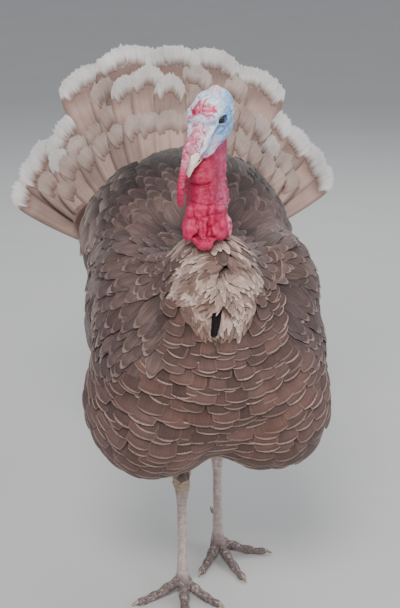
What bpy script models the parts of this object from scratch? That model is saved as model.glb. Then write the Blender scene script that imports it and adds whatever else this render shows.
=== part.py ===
"""A life-size strutting domestic turkey tom, in metres, +Z up, facing -Y, its left side at +X.

Every soft form is sculpted the same way: balls are laid along a limb or placed as named masses, fused
into one skin, smoothed and reduced. Each piece is then carved by a slightly swollen copy of its neighbours,
so that the pieces meet with a thin gap and never overlap.
"""

import math

import bmesh
import bpy
from mathutils import Matrix, Vector

GAP = 0.0005  # clearance that a swollen cutter leaves between two pieces

# Driving sizes
FEET_Y = {"left": -0.137, "right": -0.252}  # the right foot stands a short step ahead
FEET_X = {"left": 0.041, "right": -0.038}
HOCK_Z = 0.197
TOE_RADIUS = 0.0078
BODY_SCALE = 0.9745  # all above the thighs, which is then carried forward over the feet
BODY_OFFSET = Vector((-0.0088, -0.0549, 0.0283))
HEAD_CENTRE = Vector((-0.011, -0.340, 0.780))
HEAD_YAW = math.radians(38)  # turned to the bird's right
HEAD_PITCH = math.radians(40)  # bill tucked down
HEAD_SCALE = 1.15
EYE_FORWARD, EYE_ASIDE, EYE_UP = 0.0060, 0.0163, 0.0080  # on the unscaled head
EYE_RADIUS = 0.0070
TAIL_HUB = Vector((0.0, 0.075, 0.425))
TAIL_LEAN = math.radians(10)  # the fan's top leans back
TAIL_SPREAD = math.radians(61)  # edge of the fan, from vertical
# Reach of each tail feather from the hub, from the bird's right edge to its left
TAIL_REACH = (
    0.316, 0.323, 0.329, 0.321, 0.335, 0.393, 0.402, 0.406, 0.390,
    0.397, 0.401, 0.392, 0.384, 0.352, 0.342, 0.338, 0.339, 0.333,
)
FAN_THICKNESS = 0.005
FAN_ROOT = 0.06  # radius at which the feathers leave the rump
FAN_CUP = 0.10  # how far the fan's side edges come forwards, as a share of their reach
FAN_SCALLOP = 0.03  # how much shorter a feather is at its corners than at its tip
# Each row of coverts: half spread, feathers, reach of the outermost and of the middle one, and how far
# the row stands forward of the tail
COVERTS = {
    "coverts_short": (math.radians(52), 10, (0.245, 0.292), 0.024),
    "coverts_long": (math.radians(56), 12, (0.300, 0.362), 0.012),
}

# Each toe's heading in degrees from straight ahead (towards the bird's own left), and its length
TOES = {
    "left": {"inner": (-30, 0.074), "middle": (13, 0.096), "outer": (76, 0.072), "hind": (160, 0.030)},
    "right": {"inner": (38, 0.070), "middle": (-6, 0.094), "outer": (-66, 0.076), "hind": (172, 0.030)},
}

# Named masses of the trunk: centre, radii, and True where it is paired on both sides
TRUNK_MASSES = {
    "keel": ((0.0, -0.255, 0.425), (0.160, 0.182, 0.170), False),
    "breast_lobe": ((0.083, -0.262, 0.337), (0.109, 0.152, 0.116), True),
    "breast_side": ((0.085, -0.275, 0.415), (0.093, 0.125, 0.120), True),
    "flank": ((0.062, -0.110, 0.400), (0.085, 0.190, 0.155), True),
    "shoulder": ((0.093, -0.235, 0.490), (0.085, 0.118, 0.108), True),
    "mantle": ((0.0, -0.115, 0.515), (0.168, 0.158, 0.183), False),
    "crop": ((-0.010, -0.350, 0.525), (0.080, 0.088, 0.104), False),
    "rump": ((0.0, 0.010, 0.430), (0.120, 0.108, 0.122), False),
    "rump_side": ((0.100, 0.002, 0.518), (0.075, 0.078, 0.112), True),
    "vent": ((0.0, 0.005, 0.328), (0.100, 0.096, 0.082), False),
}

MATERIALS = {
    "plumage": ((0.20, 0.11, 0.075), 0.75),
    "wing_feather": ((0.24, 0.14, 0.10), 0.70),
    "tail_feather": ((0.45, 0.29, 0.22), 0.70),
    "bare_skin": ((0.62, 0.74, 0.86), 0.50),
    "caruncle": ((0.62, 0.05, 0.08), 0.42),
    "horn": ((0.62, 0.56, 0.42), 0.40),
    "leg_scale": ((0.52, 0.38, 0.36), 0.60),
    "beard_hair": ((0.02, 0.018, 0.02), 0.60),
    "eye": ((0.03, 0.015, 0.01), 0.08),
}


def clear_scene():
    for obj in list(bpy.data.objects):
        bpy.data.objects.remove(obj, do_unlink=True)


def new_collection(name, hidden=False):
    collection = bpy.data.collections.new(name)
    bpy.context.scene.collection.children.link(collection)
    collection.hide_render = hidden
    return collection


def make_material(name):
    colour, roughness = MATERIALS[name]
    material = bpy.data.materials.get(name) or bpy.data.materials.new(name)
    material.use_nodes = True
    shader = material.node_tree.nodes["Principled BSDF"]
    shader.inputs["Base Color"].default_value = (*colour, 1.0)
    shader.inputs["Roughness"].default_value = roughness
    shader.inputs["Metallic"].default_value = 0.0
    return material


def ball(centre, radii, turn=None):
    """One mass: a centre, three radii and an optional rotation matrix."""
    radii = Vector(radii) if hasattr(radii, "__len__") else Vector((radii,) * 3)
    return Vector(centre), radii, turn or Matrix.Identity(3)


def chain(stops, step=0.5):
    """Balls laid along a line of (point, radius) stops, close enough to fuse into one limb."""
    balls = []
    for (start, r0), (end, r1) in zip(stops, stops[1:]):
        start, end = Vector(start), Vector(end)
        count = max(2, math.ceil((end - start).length / (step * min(r0, r1))))
        for i in range(count):
            t = i / count
            balls.append(ball(start.lerp(end, t), r0 + (r1 - r0) * t))
    balls.append(ball(*stops[-1]))
    return balls


def curve_stops(points, radii, count=12):
    """(point, radius) stops along a smooth curve through the points, with the radii spread along it."""
    points = [Vector(p) for p in points]
    padded = [2 * points[0] - points[1], *points, 2 * points[-1] - points[-2]]
    stops = []
    for n in range(count + 1):
        place = n / count * (len(points) - 1)
        i = min(int(place), len(points) - 2)
        t = place - i
        a, b, c, d = padded[i : i + 4]
        spot = 0.5 * (2 * b + (c - a) * t)
        spot += 0.5 * ((2 * a - 5 * b + 4 * c - d) * t**2 + (3 * b - a - 3 * c + d) * t**3)
        at = n / count * (len(radii) - 1)
        j = min(int(at), len(radii) - 2)
        stops.append((spot, radii[j] + (radii[j + 1] - radii[j]) * (at - j)))
    return stops


def mesh_from(bm, name):
    mesh = bpy.data.meshes.new(name)
    bm.to_mesh(mesh)
    bm.free()
    return mesh


def apply_modifiers(obj):
    bpy.context.view_layer.update()
    graph = bpy.context.evaluated_depsgraph_get()
    mesh = bpy.data.meshes.new_from_object(obj.evaluated_get(graph))
    obj.modifiers.clear()
    obj.data = mesh
    obj.data.name = obj.name


def sculpt(name, balls, voxel, faces, smooth=6, floor=None):
    """Fuses balls into one closed skin of about the given number of triangles."""
    bm = bmesh.new()
    for centre, radii, turn in balls:
        place = Matrix.Translation(centre) @ turn.to_4x4() @ Matrix.Diagonal((*radii, 1.0))
        bmesh.ops.create_uvsphere(bm, u_segments=16, v_segments=10, radius=1.0, matrix=place)
    obj = bpy.data.objects.new(name, mesh_from(bm, name))
    bpy.context.scene.collection.objects.link(obj)
    remesh = obj.modifiers.new("fuse", "REMESH")
    remesh.mode = "VOXEL"
    remesh.voxel_size = voxel
    soften = obj.modifiers.new("soften", "SMOOTH")
    soften.iterations = smooth
    soften.factor = 0.5
    apply_modifiers(obj)
    reduce = obj.modifiers.new("reduce", "DECIMATE")
    triangles = sum(len(p.vertices) - 2 for p in obj.data.polygons)
    reduce.ratio = min(1.0, faces / triangles)
    apply_modifiers(obj)
    if floor is not None:
        flatten_below(obj, floor)
    return obj


def flatten_below(obj, level):
    """Cuts the object off flat at a level, and closes it there."""
    bm = bmesh.new()
    bm.from_mesh(obj.data)
    everything = bm.verts[:] + bm.edges[:] + bm.faces[:]
    cut = bmesh.ops.bisect_plane(
        bm, geom=everything, plane_co=(0, 0, level), plane_no=(0, 0, -1), clear_outer=True, dist=1e-6
    )
    rim = [e for e in cut["geom_cut"] if isinstance(e, bmesh.types.BMEdge)]
    bmesh.ops.contextual_create(bm, geom=rim)
    bmesh.ops.triangulate(bm, faces=[f for f in bm.faces if len(f.verts) > 4])
    bm.to_mesh(obj.data)
    bm.free()


def keep_largest(obj):
    """Removes the loose crumbs that a carving leaves, and merges its hair-thin edges."""
    bm = bmesh.new()
    bm.from_mesh(obj.data)
    bmesh.ops.remove_doubles(bm, verts=bm.verts, dist=2e-5)
    bmesh.ops.triangulate(bm, faces=bm.faces)
    islands, seen = [], set()
    for first in bm.verts:
        if first in seen:
            continue
        island, queue = [], [first]
        seen.add(first)
        while queue:
            vert = queue.pop()
            island.append(vert)
            for edge in vert.link_edges:
                other = edge.other_vert(vert)
                if other not in seen:
                    seen.add(other)
                    queue.append(other)
        islands.append(island)
    islands.sort(key=len, reverse=True)
    for island in islands[1:]:
        bmesh.ops.delete(bm, geom=island, context="VERTS")
    bm.to_mesh(obj.data)
    bm.free()


def swollen_copy(obj, amount):
    bm = bmesh.new()
    bm.from_mesh(obj.data)
    bm.normal_update()
    for vert in bm.verts:
        vert.co += vert.normal * amount
    cutter = bpy.data.objects.new(obj.name + "_cutter", mesh_from(bm, obj.name + "_cutter"))
    cutter.display_type = "WIRE"
    cutter.hide_render = True
    return cutter


def boxes_meet(a, b):
    """True if the bounding boxes of two objects touch."""
    box_a = [[f(v.co[k] for v in a.data.vertices) for k in range(3)] for f in (min, max)]
    box_b = [[f(v.co[k] for v in b.data.vertices) for k in range(3)] for f in (min, max)]
    return all(box_a[0][k] < box_b[1][k] and box_b[0][k] < box_a[1][k] for k in range(3))


def carve_in_turn(pieces, cutters_collection):
    """Each piece is cut by every earlier one that it meets, so earlier pieces keep their whole form."""
    cutters = []
    for piece in pieces:
        used = False
        for cutter in cutters:
            if boxes_meet(piece, cutter):
                cut = piece.modifiers.new("clear_" + cutter.name, "BOOLEAN")
                cut.operation = "DIFFERENCE"
                cut.solver = "EXACT"
                cut.object = cutter
                used = True
        cutter = swollen_copy(piece, GAP)
        cutters_collection.objects.link(cutter)
        if used:
            apply_modifiers(piece)
            keep_largest(piece)
        cutters.append(cutter)


def head_frame():
    """Rotation whose columns are the head's forward, left and up directions."""
    forward = Vector(
        (
            -math.sin(HEAD_YAW) * math.cos(HEAD_PITCH),
            -math.cos(HEAD_YAW) * math.cos(HEAD_PITCH),
            -math.sin(HEAD_PITCH),
        )
    )
    left = Vector((math.cos(HEAD_YAW), -math.sin(HEAD_YAW), 0.0))
    return Matrix((forward, left, forward.cross(left))).transposed()


def on_head(forward, left, up):
    """A place given in the head's own directions, before the head is sized."""
    return HEAD_CENTRE + head_frame() @ (Vector((forward, left, up)) * HEAD_SCALE)


def head_ball(place, radii):
    return ball(on_head(*place), Vector(radii) * HEAD_SCALE, head_frame())


def make_head():
    masses = {
        "cranium": ((-0.004, 0.0, 0.002), (0.034, 0.0235, 0.026)),
        "occiput": ((-0.026, 0.0, -0.002), (0.018, 0.0195, 0.023)),
        "face": ((0.026, 0.0, -0.0045), (0.029, 0.0165, 0.0185)),
        "nose": ((0.047, 0.0, -0.003), (0.016, 0.0105, 0.0125)),
        "crown": ((-0.008, 0.0, 0.0180), (0.019, 0.0180, 0.0135)),
        "forehead": ((0.006, 0.0, 0.0165), (0.017, 0.0155, 0.0120)),
    }
    paired = {
        "brow": ((0.003, 0.0135, 0.0150), (0.018, 0.0085, 0.0080)),
        "cheek": ((0.000, 0.0125, -0.0140), (0.026, 0.0115, 0.0135)),
        "jaw": ((0.026, 0.0080, -0.0160), (0.026, 0.0085, 0.0080)),
    }
    balls = [head_ball(*mass) for mass in masses.values()]
    for (f, s, u), radii in paired.values():
        balls += [head_ball((f, side * s, u), radii) for side in (1, -1)]
    return sculpt("head", balls, voxel=0.0022, faces=720, smooth=4)


def make_eye(side):
    sign = 1 if side == "left" else -1
    bm = bmesh.new()
    place = Matrix.Translation(on_head(EYE_FORWARD, sign * EYE_ASIDE, EYE_UP))
    bmesh.ops.create_uvsphere(bm, u_segments=12, v_segments=7, radius=EYE_RADIUS * HEAD_SCALE, matrix=place)
    obj = bpy.data.objects.new("eye_" + side, mesh_from(bm, "eye_" + side))
    bpy.context.scene.collection.objects.link(obj)
    return obj


def make_bill(part):
    """The horny bill: the upper half hooks over the shorter lower half."""
    # How far forward and how high each section lies, then its half width and half height
    if part == "upper":
        sections = [
            (0.048, -0.001, 0.0098, 0.0082),
            (0.060, -0.001, 0.0088, 0.0074),
            (0.070, -0.0035, 0.0068, 0.0058),
            (0.0765, -0.0075, 0.0042, 0.0040),
            (0.079, -0.0120, 0.0015, 0.0018),
        ]
    else:
        sections = [
            (0.044, -0.0130, 0.0080, 0.0046),
            (0.053, -0.0122, 0.0066, 0.0042),
            (0.061, -0.0116, 0.0046, 0.0036),
            (0.0665, -0.0112, 0.0024, 0.0022),
        ]
    between = 5
    least_length = 0.0035
    balls = []
    for start, end in zip(sections, sections[1:]):
        for i in range(between + 1):
            forward, up, wide, high = (a + (b - a) * i / between for a, b in zip(start, end))
            balls.append(head_ball((forward, 0, up), (max(high, least_length), wide, high)))
    return sculpt("bill_" + part, balls, voxel=0.0011, faces=160, smooth=2)


def make_snood():
    """The fleshy finger over the bill's base, which hangs down past the right of the bill."""
    points = [
        on_head(0.034, -0.001, 0.0115),
        on_head(0.052, -0.005, 0.0100),
        Vector((-0.0565, -0.405, 0.7367)),
        Vector((-0.0612, -0.410, 0.7176)),
        Vector((-0.0640, -0.412, 0.6977)),
        Vector((-0.0640, -0.410, 0.6770)),
    ]
    radii = [0.0062, 0.0066, 0.0060, 0.0054, 0.0057, 0.0063, 0.0048]
    return sculpt("snood", chain(curve_stops(points, radii)), voxel=0.0018, faces=150, smooth=2)


def make_neck():
    points = [
        (-0.004, -0.318, 0.770),
        (-0.010, -0.318, 0.735),
        (-0.014, -0.325, 0.695),
        (-0.014, -0.330, 0.650),
        (-0.012, -0.325, 0.590),
    ]
    radii = [0.0225, 0.0270, 0.0290, 0.0290, 0.0300, 0.0330]
    return sculpt("neck", chain(curve_stops(points, radii)), voxel=0.0040, faces=290, smooth=3)


def make_caruncles():
    """The dewlap under the throat and the cluster of large caruncles at its foot."""
    points = [(-0.014, -0.345, 0.735), (-0.023, -0.362, 0.700), (-0.027, -0.371, 0.645)]
    balls = chain(curve_stops(points, [0.015, 0.020, 0.022]))
    lobes = {
        "right_lobe": ((-0.0455, -0.378, 0.637), (0.0130, 0.0150, 0.0190)),
        "middle_lobe": ((-0.0290, -0.388, 0.620), (0.0145, 0.0150, 0.0135)),
        "left_lobe": ((-0.0080, -0.376, 0.636), (0.0180, 0.0170, 0.0220)),
        "upper_left": ((0.0010, -0.352, 0.672), (0.0140, 0.0170, 0.0230)),
        "throat_fold": ((-0.030, -0.362, 0.708), (0.0190, 0.0160, 0.0150)),
    }
    balls += [ball(*lobe) for lobe in lobes.values()]
    return sculpt("caruncles", balls, voxel=0.0030, faces=340, smooth=2)


def make_beard():
    """The coarse tuft of bristles on the middle of the breast."""
    points = [(-0.012, -0.405, 0.545), (-0.016, -0.438, 0.531), (-0.025, -0.452, 0.506)]
    stops = curve_stops(points, [0.0050, 0.0078, 0.0082, 0.0030])
    return sculpt("beard", chain(stops), voxel=0.0018, faces=130, smooth=1)


def make_trunk():
    balls = []
    for centre, radii, paired in TRUNK_MASSES.values():
        balls.append(ball(centre, radii))
        if paired:
            balls.append(ball((-centre[0], *centre[1:]), radii))
    return sculpt("trunk", balls, voxel=0.011, faces=1040, smooth=16)


def make_wing(side):
    """The folded wing, slightly lowered: shoulder, coverts and the closed secondaries."""
    sign = 1 if side == "left" else -1
    masses = {
        "shoulder": ((0.124, -0.205, 0.465), (0.048, 0.080, 0.090), 0),
        "coverts": ((0.118, -0.105, 0.430), (0.050, 0.150, 0.112), -14),
        "secondaries": ((0.118, 0.000, 0.372), (0.044, 0.150, 0.085), -26),
    }
    balls = []
    for (x, y, z), radii, droop in masses.values():
        turn = Matrix.Rotation(math.radians(droop), 3, "X")
        balls.append(ball((sign * x, y, z), radii, turn))
    return sculpt("wing_" + side, balls, voxel=0.0080, faces=340, smooth=6)


def make_primaries(side):
    """The long flight feathers that show below and behind the secondaries."""
    sign = 1 if side == "left" else -1
    turn = Matrix.Rotation(math.radians(-30), 3, "X")
    balls = [
        ball((sign * 0.124, 0.020, 0.302), (0.020, 0.130, 0.040), turn),
        ball((sign * 0.112, 0.080, 0.264), (0.014, 0.105, 0.026), turn),
    ]
    return sculpt("primaries_" + side, balls, voxel=0.0050, faces=150, smooth=4)


def tail_reach(share):
    """Reach of the tail at a share of its half spread, from -1 at the right edge to 1 at the left."""
    return TAIL_REACH[min(int((share + 1) / 2 * len(TAIL_REACH)), len(TAIL_REACH) - 1)]


def covert_reach(reach):
    outer, middle = reach
    return lambda share: middle + (outer - middle) * share * share


def fan_point(radius, angle, forward):
    """A point of the fan: angle from vertical, towards the bird's left, cupped forwards at the edges."""
    ahead = forward + FAN_CUP * (angle / TAIL_SPREAD) ** 2 * radius
    across, up = radius * math.sin(angle), radius * math.cos(angle)
    lean_y, lean_z = math.sin(TAIL_LEAN), math.cos(TAIL_LEAN)
    return TAIL_HUB + Vector((across, up * lean_y - ahead * lean_z, up * lean_z + ahead * lean_y))


def make_fan(name, spread, feathers, reach_at, forward, columns):
    """A fan of overlapping feathers as one shell with a scalloped rim."""
    bm = bmesh.new()
    bmesh.ops.create_grid(bm, x_segments=feathers * columns, y_segments=1, size=1.0)
    for vert in bm.verts:
        share = vert.co.x
        within = (share + 1) / 2 * feathers % 1.0
        scallop = 1 - FAN_SCALLOP * abs(2 * within - 1) ** 3
        radius = FAN_ROOT if vert.co.y < 0 else reach_at(share) * scallop
        vert.co = fan_point(radius, share * spread, forward)
    obj = bpy.data.objects.new(name, mesh_from(bm, name))
    bpy.context.scene.collection.objects.link(obj)
    shell = obj.modifiers.new("thickness", "SOLIDIFY")
    shell.thickness = FAN_THICKNESS
    shell.offset = 0.0
    apply_modifiers(obj)
    bm = bmesh.new()
    bm.from_mesh(obj.data)
    bmesh.ops.recalc_face_normals(bm, faces=bm.faces)
    bmesh.ops.triangulate(bm, faces=bm.faces)
    bm.to_mesh(obj.data)
    bm.free()
    return obj


def carry_body(pieces):
    """Sizes the body and sets it over the feet."""
    for obj in pieces:
        obj.data.transform(Matrix.Translation(BODY_OFFSET) @ Matrix.Scale(BODY_SCALE, 4))


def centre_on_floor(pieces):
    """Moves everything so that the bottom centre of its bounding box is the origin."""
    corners = [vert.co for obj in pieces for vert in obj.data.vertices]
    low = Vector([min(c[k] for c in corners) for k in range(3)])
    high = Vector([max(c[k] for c in corners) for k in range(3)])
    for obj in pieces:
        obj.data.transform(Matrix.Translation(-Vector((*((low + high) / 2).xy, low.z))))


def make_thigh(side):
    sign = 1 if side == "left" else -1
    x, y = FEET_X[side], FEET_Y[side]
    hip, knee = (sign * 0.072, y + 0.030, 0.345), (sign * 0.062, y + 0.016, 0.280)
    hock = (x, y - 0.004, HOCK_Z + 0.004)
    stops = curve_stops([hip, knee, hock], [0.060, 0.050, 0.030, 0.0155])
    return sculpt("thigh_" + side, chain(stops), voxel=0.0045, faces=260, smooth=3)


def make_shank(side):
    """The scaly shank, from the hock to the ball of the foot."""
    x, y = FEET_X[side], FEET_Y[side]
    lean = 0.010 if side == "left" else 0.006  # how far the hock stands behind the foot
    stops = [
        ((x, y + lean, HOCK_Z), 0.0130),
        ((x, y + lean * 0.95, HOCK_Z - 0.018), 0.0112),
        ((x, y + lean * 0.8, HOCK_Z - 0.045), 0.0080),
        ((x, y + lean * 0.4, 0.085), 0.0074),
        ((x, y, 0.040), 0.0090),
        ((x, y, 0.022), 0.0122),
        ((x, y + 0.001, 0.0135), 0.0118),
    ]
    return sculpt("shank_" + side, chain(stops), voxel=0.0022, faces=230, smooth=2, floor=0.0)


def toe_direction(degrees):
    angle = math.radians(degrees)
    return Vector((math.sin(angle), -math.cos(angle), 0.0))


def make_toe(side, toe):
    """A toe with its padded joints, flat underneath where it bears on the floor."""
    heading, length = TOES[side][toe]
    ahead = toe_direction(heading)
    root = Vector((FEET_X[side], FEET_Y[side], 0.0))
    hind = toe == "hind"
    thick = TOE_RADIUS * (0.72 if hind else 1.0)
    joints = 2 if hind else 3
    rise = 0.020 if hind else 0.014  # height of the toe's root over its tip
    start, bearing = 0.004, 0.86  # bearing: centre height as a share of the radius, so that it rests flat
    steps = 22
    balls = []
    for n in range(steps + 1):
        t = n / steps
        swell = 1 + 0.10 * math.cos(2 * math.pi * joints * t)
        radius = thick * (1.12 - 0.40 * t) * swell
        height = radius * bearing + rise * (1 - t) ** 2
        balls.append(ball(root + ahead * (start + length * t) + Vector((0, 0, height)), radius))
    return sculpt(f"toe_{side}_{toe}", balls, voxel=0.0018, faces=110, smooth=2, floor=0.0)


def make_claw(side, toe):
    """The blunt, worn claw, which arches over and comes down to the floor."""
    heading, length = TOES[side][toe]
    ahead = toe_direction(heading)
    reach = 0.012 if toe == "hind" else 0.017
    base = Vector((FEET_X[side], FEET_Y[side], 0.0)) + ahead * (length + 0.003)
    heights = (0.0062, 0.0066, 0.0022)
    points = [base + ahead * reach * n / 2 + Vector((0, 0, height)) for n, height in enumerate(heights)]
    stops = curve_stops(points, [0.0038, 0.0032, 0.0013], count=8)
    return sculpt(f"claw_{side}_{toe}", chain(stops), voxel=0.0008, faces=48, smooth=1, floor=0.0003)


def make_spur(side):
    """The short spur on the inner back of the shank."""
    x, y = FEET_X[side], FEET_Y[side]
    inwards = -1 if side == "left" else 1
    places = [(0.002, 0.006, 0.072), (0.006, 0.018, 0.070), (0.008, 0.027, 0.074)]  # inwards, back, up
    points = [(x + inwards * inward, y + back, up) for inward, back, up in places]
    stops = curve_stops(points, [0.0052, 0.0040, 0.0014], count=8)
    return sculpt("spur_" + side, chain(stops), voxel=0.0010, faces=48, smooth=1)


def build():
    clear_scene()
    bird = new_collection("turkey")
    cutters = new_collection("cutters", hidden=True)
    sides = ("left", "right")
    body = [(make_eye(side), "eye") for side in sides]
    body.append((make_head(), "bare_skin"))
    body.append((make_bill("upper"), "horn"))
    body.append((make_bill("lower"), "horn"))
    body.append((make_snood(), "caruncle"))
    body.append((make_trunk(), "plumage"))
    body.append((make_neck(), "caruncle"))
    body.append((make_caruncles(), "caruncle"))
    body.append((make_beard(), "beard_hair"))
    body += [(make_wing(side), "wing_feather") for side in sides]
    body += [(make_primaries(side), "wing_feather") for side in sides]
    for name, (spread, feathers, reach, forward) in COVERTS.items():
        fan = make_fan(name, spread, feathers, covert_reach(reach), forward, columns=2)
        body.append((fan, "tail_feather"))
    tail = make_fan("tail_fan", TAIL_SPREAD, len(TAIL_REACH), tail_reach, 0.0, columns=3)
    body.append((tail, "tail_feather"))
    carry_body([obj for obj, _ in body])
    legs = [(make_thigh(side), "plumage") for side in sides]
    legs += [(make_shank(side), "leg_scale") for side in sides]
    for side in sides:
        for toe in TOES[side]:
            legs.append((make_toe(side, toe), "leg_scale"))
            legs.append((make_claw(side, toe), "horn"))
        legs.append((make_spur(side), "horn"))
    pieces = body + legs
    centre_on_floor([obj for obj, _ in pieces])
    carve_in_turn([obj for obj, _ in pieces], cutters)
    for obj, material in pieces:
        obj.data.materials.clear()
        obj.data.materials.append(make_material(material))
        bpy.context.scene.collection.objects.unlink(obj)
        bird.objects.link(obj)
        obj.data.shade_smooth()


build()
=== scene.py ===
import math
import random

import bmesh
import bpy
import numpy as np
from mathutils import Matrix, Vector, noise
from mathutils.bvhtree import BVHTree


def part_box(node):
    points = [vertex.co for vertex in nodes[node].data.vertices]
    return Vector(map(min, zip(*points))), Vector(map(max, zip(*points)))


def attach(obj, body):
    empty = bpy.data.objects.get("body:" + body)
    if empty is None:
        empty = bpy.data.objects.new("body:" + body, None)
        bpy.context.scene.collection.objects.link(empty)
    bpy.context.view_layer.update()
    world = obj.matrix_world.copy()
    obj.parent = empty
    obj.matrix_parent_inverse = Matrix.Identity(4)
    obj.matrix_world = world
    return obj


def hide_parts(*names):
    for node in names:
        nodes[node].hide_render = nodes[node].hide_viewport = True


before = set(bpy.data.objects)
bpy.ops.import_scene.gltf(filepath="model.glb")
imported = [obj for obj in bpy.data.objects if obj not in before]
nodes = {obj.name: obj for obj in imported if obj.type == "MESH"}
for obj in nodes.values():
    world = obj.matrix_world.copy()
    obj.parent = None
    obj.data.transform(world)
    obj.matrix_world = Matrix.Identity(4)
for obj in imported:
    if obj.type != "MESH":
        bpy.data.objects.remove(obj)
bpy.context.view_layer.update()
sides = {"left": 1, "right": -1}
toes = ("inner", "middle", "outer", "hind")
bodySize = 0.9745  # the body's own scale in the frame
bodyShift = Vector((-0.0071, 0.1397, 0.0283))  # sets the body over the feet
upward, downward = Vector((0, 0, 1)), Vector((0, 0, -1))
dice = random.Random(19)


def say(*words):
    print("turkey:", *words, flush=True)


def middleOf(node):
    low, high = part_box(node)
    return (low + high) / 2


def clamp(value):
    return min(1.0, max(0.0, value))


def newObject(name, mesh):
    obj = bpy.data.objects.new(name, mesh)
    bpy.context.scene.collection.objects.link(obj)
    return obj


def objectFrom(name, bm):
    mesh = bpy.data.meshes.new(name)
    bm.to_mesh(mesh)
    bm.free()
    return newObject(name, mesh)


def applyAll(obj):
    bpy.context.view_layer.update()
    graph = bpy.context.evaluated_depsgraph_get()
    mesh = bpy.data.meshes.new_from_object(obj.evaluated_get(graph))
    obj.modifiers.clear()
    obj.data = mesh
    return obj


def withModifier(obj, kind, **settings):
    modifier = obj.modifiers.new(kind.lower(), kind)
    for key, value in settings.items():
        setattr(modifier, key, value)


def dropObject(obj):
    bpy.data.objects.remove(obj, do_unlink=True)


def finishPiece(piece, slot, nodeNames, *materials):
    # every piece rides on the body and takes the place of its CAD nodes
    for material in materials:
        piece.data.materials.append(material)
    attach(piece, "root")
    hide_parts(*nodeNames)


def cadCopy(bm, *nodeNames):
    # adds welded copies of CAD nodes to a bmesh
    for node in nodeNames:
        piece = bmesh.new()
        piece.from_mesh(nodes[node].data)
        bmesh.ops.remove_doubles(piece, verts=piece.verts, dist=1e-5)
        mesh = bpy.data.meshes.new("copy")
        piece.to_mesh(mesh)
        piece.free()
        bm.from_mesh(mesh)
        bpy.data.meshes.remove(mesh)


def addBall(masses, centre, radii, turn=None):
    radii = Vector(radii) if hasattr(radii, "__len__") else Vector((radii,) * 3)
    turn = turn.to_4x4() if turn else Matrix.Identity(4)
    masses.append(Matrix.Translation(centre) @ turn @ Matrix.Diagonal((*radii, 1.0)))


def addMasses(bm, masses):
    # one ball, repeated at every place of the list
    ball = bmesh.new()
    bmesh.ops.create_uvsphere(ball, u_segments=12, v_segments=8, radius=1.0)
    ball.verts.index_update()
    shape = np.array([v.co[:] + (1.0,) for v in ball.verts])
    faces = [[v.index for v in face.verts] for face in ball.faces]
    ball.free()
    co = np.concatenate([(shape @ np.array(place).T)[:, :3] for place in masses])
    faces = [[i + n * len(shape) for i in face] for n in range(len(masses)) for face in faces]
    mesh = bpy.data.meshes.new("masses")
    mesh.from_pydata(co.tolist(), [], faces)
    bm.from_mesh(mesh)
    bpy.data.meshes.remove(mesh)


def addChain(masses, points, radii, count=16):
    # balls along a line, close enough to fuse
    for n in range(count + 1):
        t = n / count
        place = t * (len(points) - 1)
        i = min(int(place), len(points) - 2)
        spot = points[i].lerp(points[i + 1], place - i)
        at = t * (len(radii) - 1)
        j = min(int(at), len(radii) - 2)
        addBall(masses, spot, radii[j] + (radii[j + 1] - radii[j]) * (at - j))


def fused(name, bm, voxel, smooth):
    obj = objectFrom(name, bm)
    withModifier(obj, "REMESH", mode="VOXEL", voxel_size=voxel)
    withModifier(obj, "SMOOTH", iterations=smooth, factor=0.5)
    return applyAll(obj)


def vectorsOf(source, key):
    values = np.empty(len(source) * 3, np.float32)
    source.foreach_get(key, values)
    return values.reshape(-1, 3).astype(float)


def coordsOf(mesh):
    return vectorsOf(mesh.vertices, "co")


def normalsOf(mesh):
    return vectorsOf(mesh.vertex_normals, "vector")


def setCoords(mesh, co):
    mesh.vertices.foreach_set("co", co.astype(np.float32).ravel())
    mesh.update()


def paint(mesh, name, colours):
    layer = mesh.color_attributes.new(name, "FLOAT_COLOR", "POINT")
    layer.data.foreach_set("color", colours.astype(np.float32).ravel())


def softStep(low, high, value):
    t = np.clip((value - low) / (high - low), 0, 1)
    return t * t * (3 - 2 * t)


def dip(value, width):
    # 1 at nought, falling away like a bell
    return np.exp(-((value / width) ** 2))


def treeOf(obj):
    mesh = obj.data
    return BVHTree.FromPolygons([v.co.copy() for v in mesh.vertices], [p.vertices[:] for p in mesh.polygons])


def nodeTree(*nodeNames):
    bm = bmesh.new()
    cadCopy(bm, *nodeNames)
    tree = BVHTree.FromBMesh(bm)
    bm.free()
    return tree


def nearNode(name, co):
    # distance of each place from a CAD node, up to 0.02
    tree = nodeTree(name)
    return np.array([tree.find_nearest(Vector(p), 0.02)[3] or 0.02 for p in co])


# the head's own directions: ahead along the bill, left, and up from the crown
headPitch = math.radians(40)
headSize = 1.15 * bodySize
headLeft = (middleOf("eye_left") - middleOf("eye_right")).normalized()
headAhead = headLeft.cross(upward) * math.cos(headPitch) - upward * math.sin(headPitch)
headTurn = Matrix((headAhead, headLeft, headAhead.cross(headLeft))).transposed()
betweenEyes = (middleOf("eye_left") + middleOf("eye_right")) / 2
headCentre = betweenEyes - headTurn @ Vector((0.006, 0, 0.008)) * headSize


def onHead(forward, left, up):
    # a place along the head's own directions, before it is sized
    return headCentre + headTurn @ (Vector((forward, left, up)) * headSize)


def inHead(co):
    # the way back: places in the frame along the head's own directions
    return (co - np.array(headCentre)) @ np.array(headTurn) / headSize


def onBody(x, y, z):
    # a place in the body's own numbers, before it is sized and set over the feet
    return Vector((x, y, z)) * bodySize + bodyShift


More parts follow.
